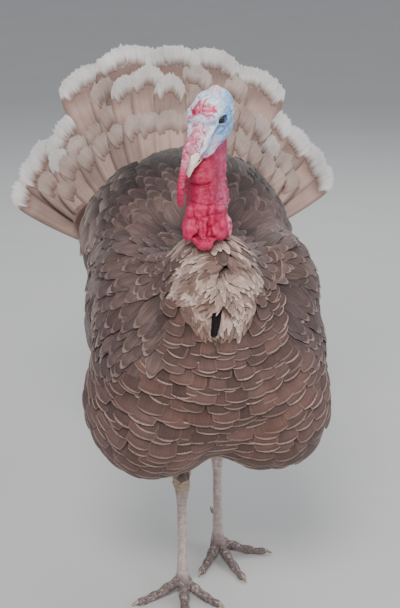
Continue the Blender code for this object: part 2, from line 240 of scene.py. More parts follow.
class Wire:
    # one socket; arithmetic on it adds Math nodes
    def __init__(self, board, socket):
        self.board, self.socket = board, socket

    def math(self, operation, *others):
        return self.board.node("ShaderNodeMath", {"operation": operation}, [self, *others])

    def __add__(self, other):
        return self.math("ADD", other)

    def __sub__(self, other):
        return self.math("SUBTRACT", other)

    def __rsub__(self, other):
        return self.board.node("ShaderNodeMath", {"operation": "SUBTRACT"}, [other, self])

    def __mul__(self, other):
        return self.math("MULTIPLY", other)

    def __truediv__(self, other):
        return self.math("DIVIDE", other)

    __radd__ = __add__
    __rmul__ = __mul__


class Board:
    # one material and its nodes
    def __init__(self, name, **constants):
        self.material = bpy.data.materials.new(name)
        self.material.use_nodes = True
        self.tree = self.material.node_tree
        self.shader = self.tree.nodes["Principled BSDF"]
        self.feed(**constants)

    def plug(self, socket, value):
        if isinstance(value, Wire):
            self.tree.links.new(value.socket, socket)
        else:
            socket.default_value = value

    def node(self, kind, settings=None, values=(), output=0):
        made = self.tree.nodes.new(kind)
        for key, value in (settings or {}).items():
            setattr(made, key, value)
        for key, value in values.items() if isinstance(values, dict) else enumerate(values):
            self.plug(made.inputs[key], value)
        return Wire(self, made.outputs[output])

    def feed(self, **sockets):
        for key, value in sockets.items():
            self.plug(self.shader.inputs[key.replace("_", " ")], value)

    def place(self):
        return self.node("ShaderNodeTexCoord", output="Object")

    def split(self, wire):
        first = self.node("ShaderNodeSeparateXYZ", values=[wire])
        return [Wire(self, out) for out in first.socket.node.outputs]

    def uv(self, name):
        return self.node("ShaderNodeUVMap", {"uv_map": name})

    def attribute(self, name, output="Color"):
        return self.node("ShaderNodeAttribute", {"attribute_name": name}, output=output)

    def noise(self, vector, scale, detail):
        values = {"Vector": vector, "Scale": scale, "Detail": detail, "Roughness": 0.55}
        return self.node("ShaderNodeTexNoise", values=values)

    def cells(self, vector, scale, feature="F1"):
        values = {"Vector": vector, "Scale": scale}
        return self.node("ShaderNodeTexVoronoi", {"feature": feature}, values, "Distance")

    def step(self, value, low, high, start=0.0, end=1.0):
        # smooth rise of a value between two levels
        values = {"Value": value, "From Min": low, "From Max": high, "To Min": start, "To Max": end}
        return self.node("ShaderNodeMapRange", {"interpolation_type": "SMOOTHSTEP"}, values)

    def mix(self, factor, first, second):
        first, second = ((*c, 1.0) if isinstance(c, tuple) else c for c in (first, second))
        return self.node("ShaderNodeMix", {"data_type": "RGBA"}, {0: factor, 6: first, 7: second}, 2)

    def shade(self, colour, amount):
        # darkens or lightens a colour by a wire around 1
        return self.node("ShaderNodeVectorMath", {"operation": "SCALE"}, {0: colour, "Scale": amount})

    def bump(self, height, distance, strength):
        values = {"Height": height, "Distance": distance, "Strength": strength}
        self.feed(Normal=self.node("ShaderNodeBump", values=values))


def makeVane(columns, rows, rootWidth, widest, tipWidth, tipRound, rowPower=1.0):
    # a flat closed shell, shaped once and laid many times
    # across runs -1..1, along 0..1, and layer is 0 on top and 1 beneath
    bm = bmesh.new()
    bmesh.ops.create_grid(bm, x_segments=columns, y_segments=rows, size=1.0)
    bmesh.ops.solidify(bm, geom=bm.faces[:], thickness=1.0)
    bmesh.ops.recalc_face_normals(bm, faces=bm.faces[:])
    bm.verts.index_update()
    top = max(v.co.z for v in bm.verts)
    across, along, layer = [], [], []
    for vert in bm.verts:
        across.append(round(vert.co.x, 4))
        along.append(round(((vert.co.y + 1) / 2), 4))
        layer.append(0.0 if vert.co.z > top - 0.5 else 1.0)
    faces = [[v.index for v in face.verts] for face in bm.faces]
    bm.free()
    across, along = np.array(across), np.array(along) ** rowPower
    grow = np.clip(along / widest, 0, 1)
    width = rootWidth + (1 - rootWidth) * np.sin(grow * math.pi / 2)
    fade = np.clip((along - widest) / (1 - widest), 0, 1)
    width = width * (1 - (1 - tipWidth) * fade**2)
    reach = along - tipRound * across**2 * along**3
    spots = sorted(set(zip(across.tolist(), along.tolist())))
    index = {spot: n for n, spot in enumerate(spots)}
    which = np.array([index[spot] for spot in zip(across.tolist(), along.tolist())])
    grid = np.array(spots)
    firstOf = [int(np.where(which == n)[0][0]) for n in range(len(spots))]
    return {
        "faces": faces, "layer": np.array(layer), "which": which, "u": grid[:, 0], "v": grid[:, 1],
        "x": grid[:, 0] * width[firstOf], "y": reach[firstOf], "rows": np.unique(along), "tip": tipWidth,
        "round": tipRound,
    }


class Plumage:
    # feathers of one vane, laid one by one and joined to one piece
    def __init__(self, vane):
        self.vane, self.laid, self.tints, self.patches = vane, [], [], []

    def add(self, laid, tint, patch):
        # laid: grid places and their normals; tint: coolness, edging, darkening and a random number
        # patch: the middle and the size across and along in the bake map
        self.laid.append([[p[:] for p in part] for part in laid])
        self.tints.append(tint)
        self.patches.append(patch)

    def join(self, name, thickness, slot, nodeNames, material):
        vane, which, count = self.vane, self.vane["which"], len(self.laid)
        tops, normals = np.array(self.laid)[:, :, which].swapaxes(0, 1)
        co = tops - normals * vane["layer"][None, :, None] * thickness
        faces = [[i + n * len(which) for i in face] for n in range(count) for face in vane["faces"]]
        mesh = bpy.data.meshes.new(name)
        mesh.from_pydata(co.reshape(-1, 3).tolist(), [], faces)
        loops = np.empty(len(mesh.loops), np.int32)
        mesh.loops.foreach_get("vertex_index", loops)
        u, v = vane["u"][which], vane["v"][which]
        x, y, wide, long = (part[:, None] for part in np.array(self.patches, float).T)
        maps = {
            "vane": np.tile(np.stack([u * 0.5 + 0.5, v], 1), (count, 1)),
            "OFBake": np.stack([x + wide * 0.5 * u, y + long * (v - 0.5)], 2).reshape(-1, 2),
        }
        for key, values in maps.items():
            layer = mesh.uv_layers.new(name=key)
            layer.data.foreach_set("uv", values[loops].astype(np.float32).ravel())
        paint(mesh, "tint", np.repeat(np.array(self.tints, np.float32), len(which), 0))
        mesh.shade_smooth()
        mesh.set_sharp_from_angle(angle=math.radians(50))
        finishPiece(newObject(name, mesh), slot, nodeNames, material)
        say(name, count, "feathers")


def layOn(form, vane, root, ahead, length, width, lift, arch, sink):
    # lays one vane along a surface: returns its grid places and their normals
    spot, normal, _, _ = form.find_nearest(root)
    rows, spine = vane["rows"], []
    for n, row in enumerate(rows):
        if n:
            spot, normal, _, _ = form.find_nearest(spot + ahead * (row - rows[n - 1]) * length)
        ahead = (ahead - normal * ahead.dot(normal)).normalized()
        spine.append((spot, ahead, ahead.cross(normal)))
    places, outs = [], []
    half = width / 2
    for u, v, x, y in zip(vane["u"], vane["v"], vane["x"], vane["y"]):
        spot, forward, side = spine[int(np.searchsorted(rows, v - 1e-6))]
        spot, normal, _, _ = form.find_nearest(spot + side * (x * half) + forward * ((y - v) * length))
        places.append(spot + normal * (lift * v - arch * u * u - sink))
        outs.append(normal)
    return places, outs


def layAlong(vane, spineAt, side, normal, width, arch, roll=0.0):
    # lays one vane along a free line spineAt(share); roll lifts one edge over its neighbour
    places = []
    for u, x, y in zip(vane["u"], vane["x"], vane["y"]):
        places.append(spineAt(y) + side * (x * width / 2) + normal * (roll * u - arch * u * u))
    return places, [normal] * len(places)


def bentLine(start, bend, end):
    # a smooth line from start to end, drawn towards bend
    def lineAt(share):
        return start * (1 - share) ** 2 + bend * 2 * share * (1 - share) + end * share**2
    return lineAt


# the plain body that the coat lies on
bm = bmesh.new()
cadCopy(bm, "trunk", "wing_left", "wing_right", "thigh_left", "thigh_right")
bodyForm = fused("bodyForm", bm, 0.006, 8)
bodyForm.hide_render = True
formTree = treeOf(bodyForm)
say("body form", len(bodyForm.data.vertices))

headLook = {
    "voxel": 0.0013,
    "crownBump": ((-0.020, 0.006, 0.0250), (0.010, 0.008, 0.0065)),
    "eye": (0.0060, 0.0163, 0.0080),
    "opening": (0.0068, 0.0088),
    "lid": (0.0090, 0.0050, 0.0013),  # half length, half height and thickness of the lids
    "lidSlant": math.radians(19),  # the front corner stands higher on the head
    "cornerDraw": 0.35,  # how far the front corner is drawn out
    # folds are places on the head, thicknesses and a number of balls
    "cheek": (  # the brow, the ridge from the eye down to the bill, the swelling under the eye
        (((0.018, 0.0165, 0.0165), (0.006, 0.0205, 0.0170), (-0.008, 0.0205, 0.0140)),
         (0.0020, 0.0034, 0.0022), 20),
        (((0.0150, 0.0195, 0.0100), (0.031, 0.0138, 0.0062), (0.046, 0.0095, 0.0015)),
         (0.0014, 0.0024, 0.0016), 24),
        (((0.020, 0.0175, -0.0010), (0.006, 0.0215, -0.0030), (-0.008, 0.0220, 0.0010)),
         (0.0016, 0.0026, 0.0016), 18),
    ),
    "billAndEar": (  # the swelling beside the bill and the rim of the ear
        (((0.044, 0.0050, 0.0065), (0.052, 0.0050, 0.0040)), (0.0062, 0.0048), 16),
        (((-0.016, 0.0225, -0.0010), (-0.0215, 0.0205, -0.0045), (-0.0180, 0.0220, -0.0085)),
         (0.0014, 0.0018, 0.0014), 12),
    ),
    "snoodRoot": (
        (((0.046, -0.006, 0.0070), (0.056, -0.0055, 0.0035), (0.061, -0.0080, -0.0010)),
         (0.0060, 0.0052, 0.0038), 16),
        (((0.050, 0.0035, 0.0080), (0.0590, 0.0008, 0.0052), (0.0645, -0.0042, 0.0020)),
         (0.0052, 0.0044, 0.0030), 12),
    ),
    "faceNodules": 20,
    "warts": 34,
    "neckNodules": 110,
    "dewlap": ((0.7130, 0.010, 0.0040), (0.6930, 0.014, 0.0056), (0.6760, 0.018, 0.0048)),
    "lobes": (  # centres on the body and radii of the lobes at the foot of the dewlap
        ((-0.0470, -0.384, 0.650), (0.0075, 0.0080, 0.0200)),
        ((-0.0360, -0.392, 0.640), (0.0062, 0.0070, 0.0150)),
        ((-0.0492, -0.388, 0.6340), (0.0092, 0.0100, 0.0140)),
        ((-0.0050, -0.390, 0.6350), (0.0105, 0.0100, 0.0155)),
        ((-0.0060, -0.388, 0.655), (0.0085, 0.0085, 0.0215)),
        ((0.0050, -0.382, 0.636), (0.0078, 0.0080, 0.0165)),
        ((-0.0292, -0.398, 0.6185), (0.0124, 0.0102, 0.0100)),
        ((-0.0150, -0.394, 0.632), (0.0060, 0.0070, 0.0130)),
    ),
    "creases": (  # height, slope, width, depth, and where each starts and ends across
        (0.7060, 0.10, 0.0019, 0.0042, -0.066, -0.022), (0.6800, -0.12, 0.0017, 0.0028, -0.060, -0.004),
        (0.6640, 0.15, 0.0015, 0.0020, -0.060, -0.012), (0.6375, 0.00, 0.0020, 0.0044, -0.050, -0.020),
        (0.7300, 0.30, 0.0016, 0.0014, -0.050, -0.010),
    ),
    "grooves": (  # place across, slope, width, depth, and where each starts and ends in height
        (-0.0285, 0.06, 0.0020, 0.0050, 0.6370, 0.6790), (-0.0455, -0.08, 0.0020, 0.0050, 0.6370, 0.6640),
        (-0.0140, 0.10, 0.0013, 0.0022, 0.6450, 0.6720), (-0.0200, -0.12, 0.0014, 0.0022, 0.6800, 0.7300),
    ),
    "snoodRing": 0.0042,
}


def eyeRim(sign, angle):
    # a point of the almond round the eye, its front corner drawn out to a point
    long, high, _ = headLook["lid"]
    middleF, middleU = headLook["opening"]
    f = long * math.cos(angle)
    u = high * math.sin(angle) * (1 - headLook["cornerDraw"] * max(0.0, math.cos(angle)))
    slant = headLook["lidSlant"]
    f, u = f * math.cos(slant) - u * math.sin(slant), f * math.sin(slant) + u * math.cos(slant)
    depth = 0.0230 - 0.26 * f - 14.0 * f * f - 22.0 * u * u
    return (middleF + f, sign * depth, middleU + u)


def addFolds(masses, folds, sign=1):
    # soft folds of skin, given in the look of the head
    for points, radii, count in folds:
        addChain(masses, [onHead(f, sign * s, u) for f, s, u in points], radii, count)


def addFace(masses, sign):
    # lids, cheek, nodules and ear on one side
    rim = [onHead(*eyeRim(sign, 2 * math.pi * n / 18)) for n in range(19)]
    addChain(masses, rim, [headLook["lid"][2] * headSize] * 2, count=44)
    # a second, fainter fold behind and below the eye
    outer = [onHead(*eyeRim(sign, math.radians(150 + 13 * n))) for n in range(12)]
    f, s, u = headLook["eye"]
    centre = onHead(f, sign * s, u)
    addChain(masses, [centre + (p - centre) * 1.34 for p in outer], [0.0010, 0.0018, 0.0010], count=24)
    addFolds(masses, headLook["cheek"], sign)
    for n in range(headLook["faceNodules"]):
        t = n / (headLook["faceNodules"] - 1)
        spot = Vector((0.024 + 0.022 * t, sign * (0.0125 - 0.0045 * t), 0.0120 - 0.0105 * t))
        spot += Vector([dice.uniform(-0.0022, 0.0022) for _ in range(3)])
        addBall(masses, onHead(*spot), dice.uniform(0.0012, 0.0024))
    addFolds(masses, headLook["billAndEar"], sign)


def addWarts(masses, skull):
    # warty ridges that spread over the forehead from the snood's root
    for n in range(headLook["warts"]):
        turn = math.radians(-72 + 144 * n / (headLook["warts"] - 1))
        for step in range(4):
            reach = 0.004 + 0.0036 * step + dice.uniform(-0.001, 0.001)
            f, s = 0.015 - reach * math.cos(turn), reach * math.sin(turn) * 0.95
            spot, normal, _, _ = skull.ray_cast(onHead(f, s, 0.06), headTurn @ downward)
            if spot is not None:
                size = dice.uniform(0.0010, 0.0018) * (1 - 0.12 * step)
                addBall(masses, spot - normal * 0.0006, size)


def addNeckNodules(masses, skull):
    # nodules over the neck, larger towards its foot
    low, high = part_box("neck")
    centre = onBody(-0.013, -0.324, 0)
    for n in range(headLook["neckNodules"]):
        z = dice.uniform(low.z + 0.012, high.z - 0.045)
        turn = dice.uniform(-0.9, 2.6) if n % 2 else dice.uniform(0, 2 * math.pi)
        share = (z - low.z) / (high.z - low.z)
        away = Vector((math.cos(turn), math.sin(turn), 0))
        middle = Vector((centre.x, centre.y, z))
        spot, _, _, _ = skull.ray_cast(middle + away * 0.12, -away)
        if spot is not None and (spot - middle).length < 0.05:
            addBall(masses, spot - away * 0.0014, dice.uniform(0.0022, 0.0042) * (1.25 - 0.6 * share))


def buildHead():
    bm = bmesh.new()
    cadCopy(bm, "head", "neck", "caruncles", "snood")
    for face in bm.faces:
        face.smooth = True
    smooth = objectFrom("headParts", bm)
    withModifier(smooth, "SUBSURF", levels=2, render_levels=2)
    applyAll(smooth)
    skull = nodeTree("head", "neck", "caruncles")
    masses = []
    centre, radii = headLook["crownBump"]
    addBall(masses, onHead(*centre), Vector(radii) * headSize, headTurn)
    for sign in sides.values():
        addFace(masses, sign)
    addWarts(masses, skull)
    addNeckNodules(masses, skull)
    addFolds(masses, headLook["snoodRoot"])
    for z, ahead, thick in headLook["dewlap"]:
        points = [onBody(-0.046, -0.352, z + 0.005), onBody(-0.032, -0.366 - ahead * 0.5, z),
                  onBody(-0.008, -0.356, z + 0.004)]
        addChain(masses, points, [thick * 0.6, thick, thick * 0.6], count=20)
    for centre, radii in headLook["lobes"]:
        addBall(masses, onBody(*centre), radii)
    bm = bmesh.new()
    bm.from_mesh(smooth.data)
    dropObject(smooth)
    addMasses(bm, masses)
    obj = fused("skinHead", bm, headLook["voxel"], 2)
    sculptHead(obj.data)
    return obj


def creaseGap(co, z, slope):
    # height of each place above a crease that bows across the dewlap
    across = co[:, 0] + 0.035
    return co[:, 2] - z - slope * across - 6.0 * across**2


def grooveGap(co, x, slope):
    # distance of each place beside a groove that weaves up the dewlap
    return co[:, 0] - x - slope * (co[:, 2] - 0.655) - 0.0012 * np.sin(co[:, 2] * 420.0)


def sculptHead(mesh):
    co, no = coordsOf(mesh), normalsOf(mesh)
    own = inHead(co)
    out = np.zeros(len(co))
    # fine branching wrinkles over the face, coarser grain on the neck
    for n in range(len(co)):
        p, h = Vector(co[n]), Vector(own[n])
        if own[n][2] > -0.022 and own[n][0] > -0.03:
            wide = abs(noise.noise(h * 150.0 + Vector((3.1, 0, 0))))
            tight = abs(noise.noise(h * 330.0 + Vector((0, 5.7, 0))))
            out[n] -= (0.16 - min(wide, 0.16)) * 0.0050 + (0.14 - min(tight, 0.14)) * 0.0030
        else:
            grain = abs(noise.noise(p * 130.0))
            calm = min(1.0, max(0.25, (p.z - 0.655) / 0.03)) if p.y < -0.2 else 1.0
            out[n] += noise.noise(p * 190.0) * 0.0005 - (0.15 - min(grain, 0.15)) * 0.0055 * calm
        out[n] += noise.noise(p * 520.0) * 0.00018
    middleF, middleU = headLook["opening"]
    long, high, _ = headLook["lid"]
    slant = headLook["lidSlant"]
    for sign in sides.values():
        # sockets: the skin sinks inside the almond so that the eye shows
        f, u = own[:, 0] - middleF, own[:, 2] - middleU
        along = f * math.cos(slant) + u * math.sin(slant)
        narrow = 1 - headLook["cornerDraw"] * np.clip(along / long, 0, 1)
        over = (u * math.cos(slant) - f * math.sin(slant)) / narrow
        inside = (along / (long - 0.0007)) ** 2 + (over / (high - 0.0007)) ** 2
        onSide = own[:, 1] * sign > 0.012
        out = np.where(onSide & (inside < 1.0), -0.0058 * (1 - softStep(0.60, 1.0, inside)), out)
        # ear opening
        ear = (own[:, 0] + 0.0175) ** 2 / 0.0026**2 + (own[:, 2] + 0.0045) ** 2 / 0.0030**2
        out = out - np.where(onSide, 0.0030 * np.exp(-ear), 0)
        # corner of the mouth, running back from the bill
        line = -0.0110 - 0.22 * (0.046 - own[:, 0])
        crease = dip(own[:, 2] - line, 0.0012) * softStep(0.006, 0.016, own[:, 0])
        out = out - np.where(own[:, 1] * sign > 0.004, 0.0016 * crease, 0)
    # creases across the dewlap and upright grooves between its lobes
    front = softStep(-0.1, 0.45, -no[:, 1])
    x, z = co[:, 0], co[:, 2]
    for height, slope, wide, deep, fromX, toX in headLook["creases"]:
        across = softStep(fromX - 0.003, fromX + 0.003, x) * (1 - softStep(toX - 0.003, toX + 0.003, x))
        out = out - front * across * deep * dip(creaseGap(co, height, slope), wide)
    for place, slope, wide, deep, fromZ, toZ in headLook["grooves"]:
        along = softStep(fromZ - 0.004, fromZ + 0.003, z) * (1 - softStep(toZ - 0.004, toZ + 0.004, z))
        out = out - front * along * deep * dip(grooveGap(co, place, slope), wide)
    # rings across the snood
    close = nearNode("snood", co) < 0.003
    rings = np.sin(z * 2 * math.pi / headLook["snoodRing"] + 2.0 * x / 0.01)
    out = out + np.where(close & (z < 0.765), 0.00040 * rings, 0)
    setCoords(mesh, co + no * out[:, None])


legLook = {
    "voxel": 0.0016, "scute": 0.0066, "toeScute": 0.0044, "relief": 0.0006,
    # the hock and the leg that runs up from it into the thigh: outwards, back and up, and thicknesses
    "hock": ((0, 0, 0), (0, 0.001, 0.014), (0.006, 0.004, 0.038), (0.014, 0.008, 0.075)),
    "hockThick": (0.0136, 0.0150, 0.0160, 0.0260),
    "nodules": 18,
}


def legNodes(side):
    return ["shank_" + side] + [f"toe_{side}_{toe}" for toe in toes]


def plateEdges(along):
    # rises from 0 to 1 over each plate and drops back at the next
    return along - np.floor(along)


def buildLeg(side):
    bm = bmesh.new()
    cadCopy(bm, *legNodes(side))
    bmesh.ops.subdivide_edges(bm, edges=bm.edges[:], cuts=1, use_grid_fill=True, smooth=0.6)
    low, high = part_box("shank_" + side)
    foot = Vector(((low.x + high.x) / 2, low.y + 0.012, 0))
    outward = sides[side]
    hock = foot + Vector((0, 0.007, high.z - 0.010))
    masses = []
    points = [hock + Vector((outward * x, y, z)) for x, y, z in legLook["hock"]]
    addChain(masses, points, legLook["hockThick"])
    addBall(masses, hock + Vector((outward * -0.004, -0.0090, 0.001)), (0.0052, 0.0045, 0.0062))
    for n in range(legLook["nodules"]):
        turn, z = dice.uniform(0, 2 * math.pi), dice.uniform(-0.010, 0.022)
        away = Vector((0.0135 * math.cos(turn), 0.0135 * math.sin(turn), z))
        addBall(masses, hock + away, dice.uniform(0.0016, 0.0030))
    addMasses(bm, masses)
    obj = fused("leg_" + side, bm, legLook["voxel"], 3)
    mesh = obj.data
    co, no = coordsOf(mesh), normalsOf(mesh)
    axis = co[:, :2] - np.array(foot.xy)
    # plates across the front of the shank, each one lapping over the next
    front = softStep(-0.1, 0.5, -no[:, 1])
    shank = softStep(0.032, 0.044, co[:, 2])
    saw = plateEdges(co[:, 2] / legLook["scute"])
    out = legLook["relief"] * (saw - 0.5) * shank * (0.35 + 0.65 * front)
    # plates across the top of each toe
    saw = 1 - plateEdges(np.hypot(axis[:, 0], axis[:, 1]) / legLook["toeScute"])
    out = out + legLook["relief"] * (saw - 0.5) * (1 - shank) * softStep(0.0, 0.5, no[:, 2])
    for n in range(len(co)):
        out[n] += 0.00018 * noise.noise(Vector(co[n]) * 500.0)
    co = co + no * out[:, None]
    co[:, 2] = np.maximum(co[:, 2], 0.0)
    setCoords(mesh, co)
    return obj


skinLook = {
    "depth": 0.010,  # of the skin below the coat's form
    "voxel": 0.007,
    "kept": 0.82,  # share of the faces kept, so that the skin stays light
}


def buildSkin():
    bm = bmesh.new()
    bm.from_mesh(bodyForm.data)
    body = objectFrom("skin", bm)
    withModifier(body, "DISPLACE", strength=-skinLook["depth"], mid_level=0.0)
    withModifier(body, "REMESH", mode="VOXEL", voxel_size=skinLook["voxel"])
    applyAll(body)
    parts = [buildHead()] + [buildLeg(side) for side in sides]
    say("head and legs", [len(part.data.vertices) for part in parts])
    for part in parts:
        withModifier(body, "BOOLEAN", operation="UNION", solver="FAST", object=part)
        applyAll(body)
        dropObject(part)
    withModifier(body, "DECIMATE", ratio=skinLook["kept"])
    applyAll(body)
    bm = bmesh.new()
    bm.from_mesh(body.data)
    bmesh.ops.remove_doubles(bm, verts=bm.verts, dist=1e-5)
    bmesh.ops.triangulate(bm, faces=[f for f in bm.faces if len(f.verts) > 4])
    for vert in bm.verts:
        vert.co.z = max(vert.co.z, 0.0)
    bm.to_mesh(body.data)
    bm.free()
    body.data.shade_smooth()
    return body


skinTones = {
    "blue": (0.15, 0.33, 0.66), "sky": (0.34, 0.60, 0.93), "white": (0.92, 0.95, 1.0),
    "pink": (0.82, 0.50, 0.61), "red": (0.52, 0.011, 0.080), "deepRed": (0.30, 0.004, 0.034),
    "rose": (0.72, 0.050, 0.155), "mauve": (0.50, 0.15, 0.27), "body": (0.20, 0.13, 0.11),
    "leg": (0.66, 0.52, 0.49), "hock": (0.52, 0.40, 0.27), "toe": (0.115, 0.086, 0.080),
    "rim": (0.05, 0.06, 0.10), "ash": (0.60, 0.46, 0.50),
}
# patches on the forehead: centre, radii, the levels between which they break up, strength, tone
foreheadPatches = (
    ((0.0100, -0.0035, 0.0240), (0.0088, 0.0120, 0.010), -0.45, 0.0, 0.9, "rose"),
    ((0.0110, -0.0055, 0.0240), (0.0070, 0.0090, 0.010), -0.45, 0.0, 1.0, "red"),
    ((0.0085, 0.005, 0.027), (0.0060, 0.0085, 0.010), -0.08, 0.14, 1.0, "red"),
)
tipPatch = ((0.060, 0.000, 0.005), (0.008, 0.007, 0.007))


def paintSkin(mesh):
    co = coordsOf(mesh)
    x, y, z = co.T
    own = inHead(co)
    ahead, left, up = own.T
    colour = np.tile(np.array(skinTones["body"]), (len(co), 1))

    def blend(mask, tone):
        mask = np.clip(mask, 0, 1)[:, None]
        colour[:] = colour * (1 - mask) + np.array(skinTones[tone]) * mask

    def near(centre, radii):
        # 1 at a place of the head, falling softly to 0 at its radii
        gap = np.sqrt((((own - np.array(centre)) / np.array(radii)) ** 2).sum(1))
        return 1 - softStep(0.55, 1.05, gap)

    def field(scale, shift):
        return np.array([noise.noise(Vector(p) * scale + Vector((shift, 0, 0))) for p in co])

    wobble, patchy, fine = field(95.0, 0), field(210.0, 7), field(420.0, 13)
    # branching lines, as of wrinkles with blood in them
    veins = 1 - softStep(0.03, 0.15, np.abs(field(150.0, 3.1)))
    legs = np.where(z < 0.24, 1, 0)
    bare = np.where(legs, 0, softStep(0.612, 0.622, z + 0.004 * wobble))
    blend(bare, "red")
    blend(bare * softStep(-0.05, 0.30, wobble) * 0.75, "rose")
    blend(bare * softStep(0.0, 0.30, patchy) * 0.40, "deepRed")
    blend(bare * (1 - softStep(0.650, 0.680, z)) * softStep(-0.35, 0.05, wobble) * 0.55, "rose")
    # deeper red along the grooves and in the lowest crease of the dewlap
    for place, slope in (groove[:2] for groove in headLook["grooves"][:2]):
        gap = np.abs(grooveGap(co, place, slope))
        span = softStep(0.630, 0.636, z) * (1 - softStep(0.668, 0.676, z)) * (y < -0.2)
        blend(bare * span * (1 - softStep(0.0006, 0.0020, gap)) * 0.8, "deepRed")
    gap = np.abs(creaseGap(co, 0.6375, 0.0))
    span = (y < -0.2) * (np.abs(x + 0.035) < 0.017)
    blend(bare * (1 - softStep(0.0006, 0.0022, gap)) * span * 0.8, "deepRed")
    foot = (1 - softStep(0.632, 0.642, z)) * np.where(nearNode("caruncles", co) > 0.0075, 1, 0) * bare
    blend(foot, "body")
    # the bird's left of the neck is dustier, and a whitish strip runs down behind it
    dusty = softStep(-0.030, -0.005, x + 0.012 * wobble) * (1 - softStep(0.655, 0.640, z)) * bare
    blend(dusty * softStep(0.66, 0.69, z) * (0.35 + 0.9 * np.clip(patchy, 0, 1)), "mauve")
    # painted shade: a deeper red on the throat under the head and bill, on the bird's right side
    throat = softStep(0.688, 0.704, z) * (1 - softStep(0.748, 0.764, z)) * (x < -0.012) * bare
    blend(throat * 0.40, "deepRed")
    nape = softStep(0.006, 0.024, y - onBody(0, -0.324, 0).y + 0.006 * wobble) * bare
    blend(nape * 0.55, "mauve")
    blend(nape * softStep(0.70, 0.76, z) * 0.8, "sky")
    strip = softStep(-0.004, 0.001, x) * softStep(0.626, 0.640, z) * (1 - softStep(0.672, 0.684, z))
    blend(bare * strip * softStep(-0.05, 0.15, patchy + 0.4 * fine) * (y < -0.180) * 0.7, "ash")
    # face above a line that runs from behind the ear down to the corner of the mouth
    line = -0.0190 + 0.20 * (ahead - 0.012)
    face = softStep(-0.0030, 0.0015, up - line + 0.002 * wobble) * softStep(-0.060, -0.030, ahead)
    face = face * (np.abs(left) < 0.05) * (z > 0.70) * (1 - legs)
    blend(face, "sky")
    blend(face * softStep(-0.1, 0.25, patchy) * 0.45, "white")
    blend(face * (1 - softStep(0.004, 0.014, up)) * softStep(-0.030, -0.010, ahead) * 0.55, "blue")
    # the crown is white with blue in its folds and a pink knob behind
    crown = face * softStep(0.010, 0.020, up + 0.003 * wobble)
    blend(crown * (0.85 - 0.5 * veins), "white")
    blend(crown * veins * 0.45, "sky")
    blend(near((-0.022, 0.006, 0.029), (0.014, 0.012, 0.010)) * (0.45 + 0.8 * patchy), "pink")
    # red ridges that fan out over the forehead
    fromRoot = np.hypot(ahead - 0.0150, left - 0.001)
    turn = np.arctan2(left - 0.001, 0.0150 - ahead)
    rays = 0.5 + 0.5 * np.sin(turn * 9.0 + 5.0 * wobble)
    reach = 0.0130 + 0.0095 * rays + 0.008 * patchy
    ridges = face * softStep(0.014, 0.019, up) * (1 - softStep(reach - 0.0022, reach, fromRoot))
    blend(ridges * (np.abs(turn) < 1.9) * (0.45 + 0.55 * rays), "rose")
    for centre, radii, low, high, strength, tone in foreheadPatches:
        blend(near(centre, radii) * softStep(low, high, wobble + fine * 0.5) * strength, tone)
    # muzzle: pinkish white with red lines
    muzzle = softStep(0.018, 0.026, ahead) * face
    blend(muzzle * 0.55, "white")
    blend(muzzle * 0.45, "pink")
    blend(muzzle * softStep(-0.10, 0.10, patchy + 0.5 * fine) * (np.abs(left) < 0.011) * 0.9, "rose")
    blend(near((0.036, -0.002, 0.014), (0.008, 0.008, 0.008)) * softStep(-0.12, 0.10, patchy), "rose")
    blend(near((0.046, 0.002, 0.008), (0.010, 0.0085, 0.009)) * softStep(-0.20, 0.02, fine), "rose")
    blend(near(*tipPatch) * (0.7 + fine), "pink")
    blend(near(*tipPatch) * softStep(0.0, 0.2, fine), "rose")
    blend(near((0.056, -0.005, 0.003), (0.009, 0.007, 0.009)) * (0.6 + fine), "rose")
    middleF, middleU = headLook["opening"]
    slope = math.tan(headLook["lidSlant"])
    for sign in sides.values():
        # pale ridge from the eye to the bill, with a blue line below it
        along = softStep(0.012, 0.018, ahead) * (left * sign > 0.0085)
        ridge = np.abs(up - (0.0100 - 0.275 * (ahead - 0.015)))
        blend(along * (1 - softStep(0.0022, 0.0038, ridge)) * 0.9, "white")
        under = np.abs(up - (0.0040 - 0.275 * (ahead - 0.015)))
        blend(along * (1 - softStep(0.0012, 0.0034, under)) * 0.65, "blue")
        # the dark rim of the lids, partly their own dark edge and partly painted shadow in the socket, and
        # the paler skin round it
        away = np.hypot((ahead - middleF) / 1.25, up - middleU - slope * (ahead - middleF))
        sideOn = left * sign > 0.012
        blend(sideOn * (1 - softStep(0.0080, 0.0115, away)) * 0.45, "sky")
        blend(sideOn * (1 - softStep(0.0052, 0.0064, away)) * 0.85, "rim")
    snood = np.where(nearNode("snood", co) < 0.0022, 1.0, 0.0)
    blend(snood, "red")
    blend(snood * softStep(0.690, 0.735, z) * 0.60, "rose")
    blend(snood * softStep(0.725, 0.752, z) * (0.5 + 0.8 * patchy), "pink")
    # legs: warm pale shanks, tan hocks and grey-brown toes
    blend(legs, "leg")
    blend(legs * softStep(0.165, 0.185, z + 0.006 * wobble) * 0.8, "hock")
    blend(legs * (1 - softStep(0.020, 0.042, z + 0.006 * wobble)) * (0.90 + 0.5 * patchy), "toe")
    low = 1 - softStep(0.020, 0.042, z)
    blend(legs * low * softStep(0.12, 0.34, patchy + 0.5 * fine) * 0.55, "leg")
    colour *= (1 + 0.14 * patchy)[:, None]
    paint(mesh, "zone", np.concatenate([colour, np.ones((len(co), 1))], 1))


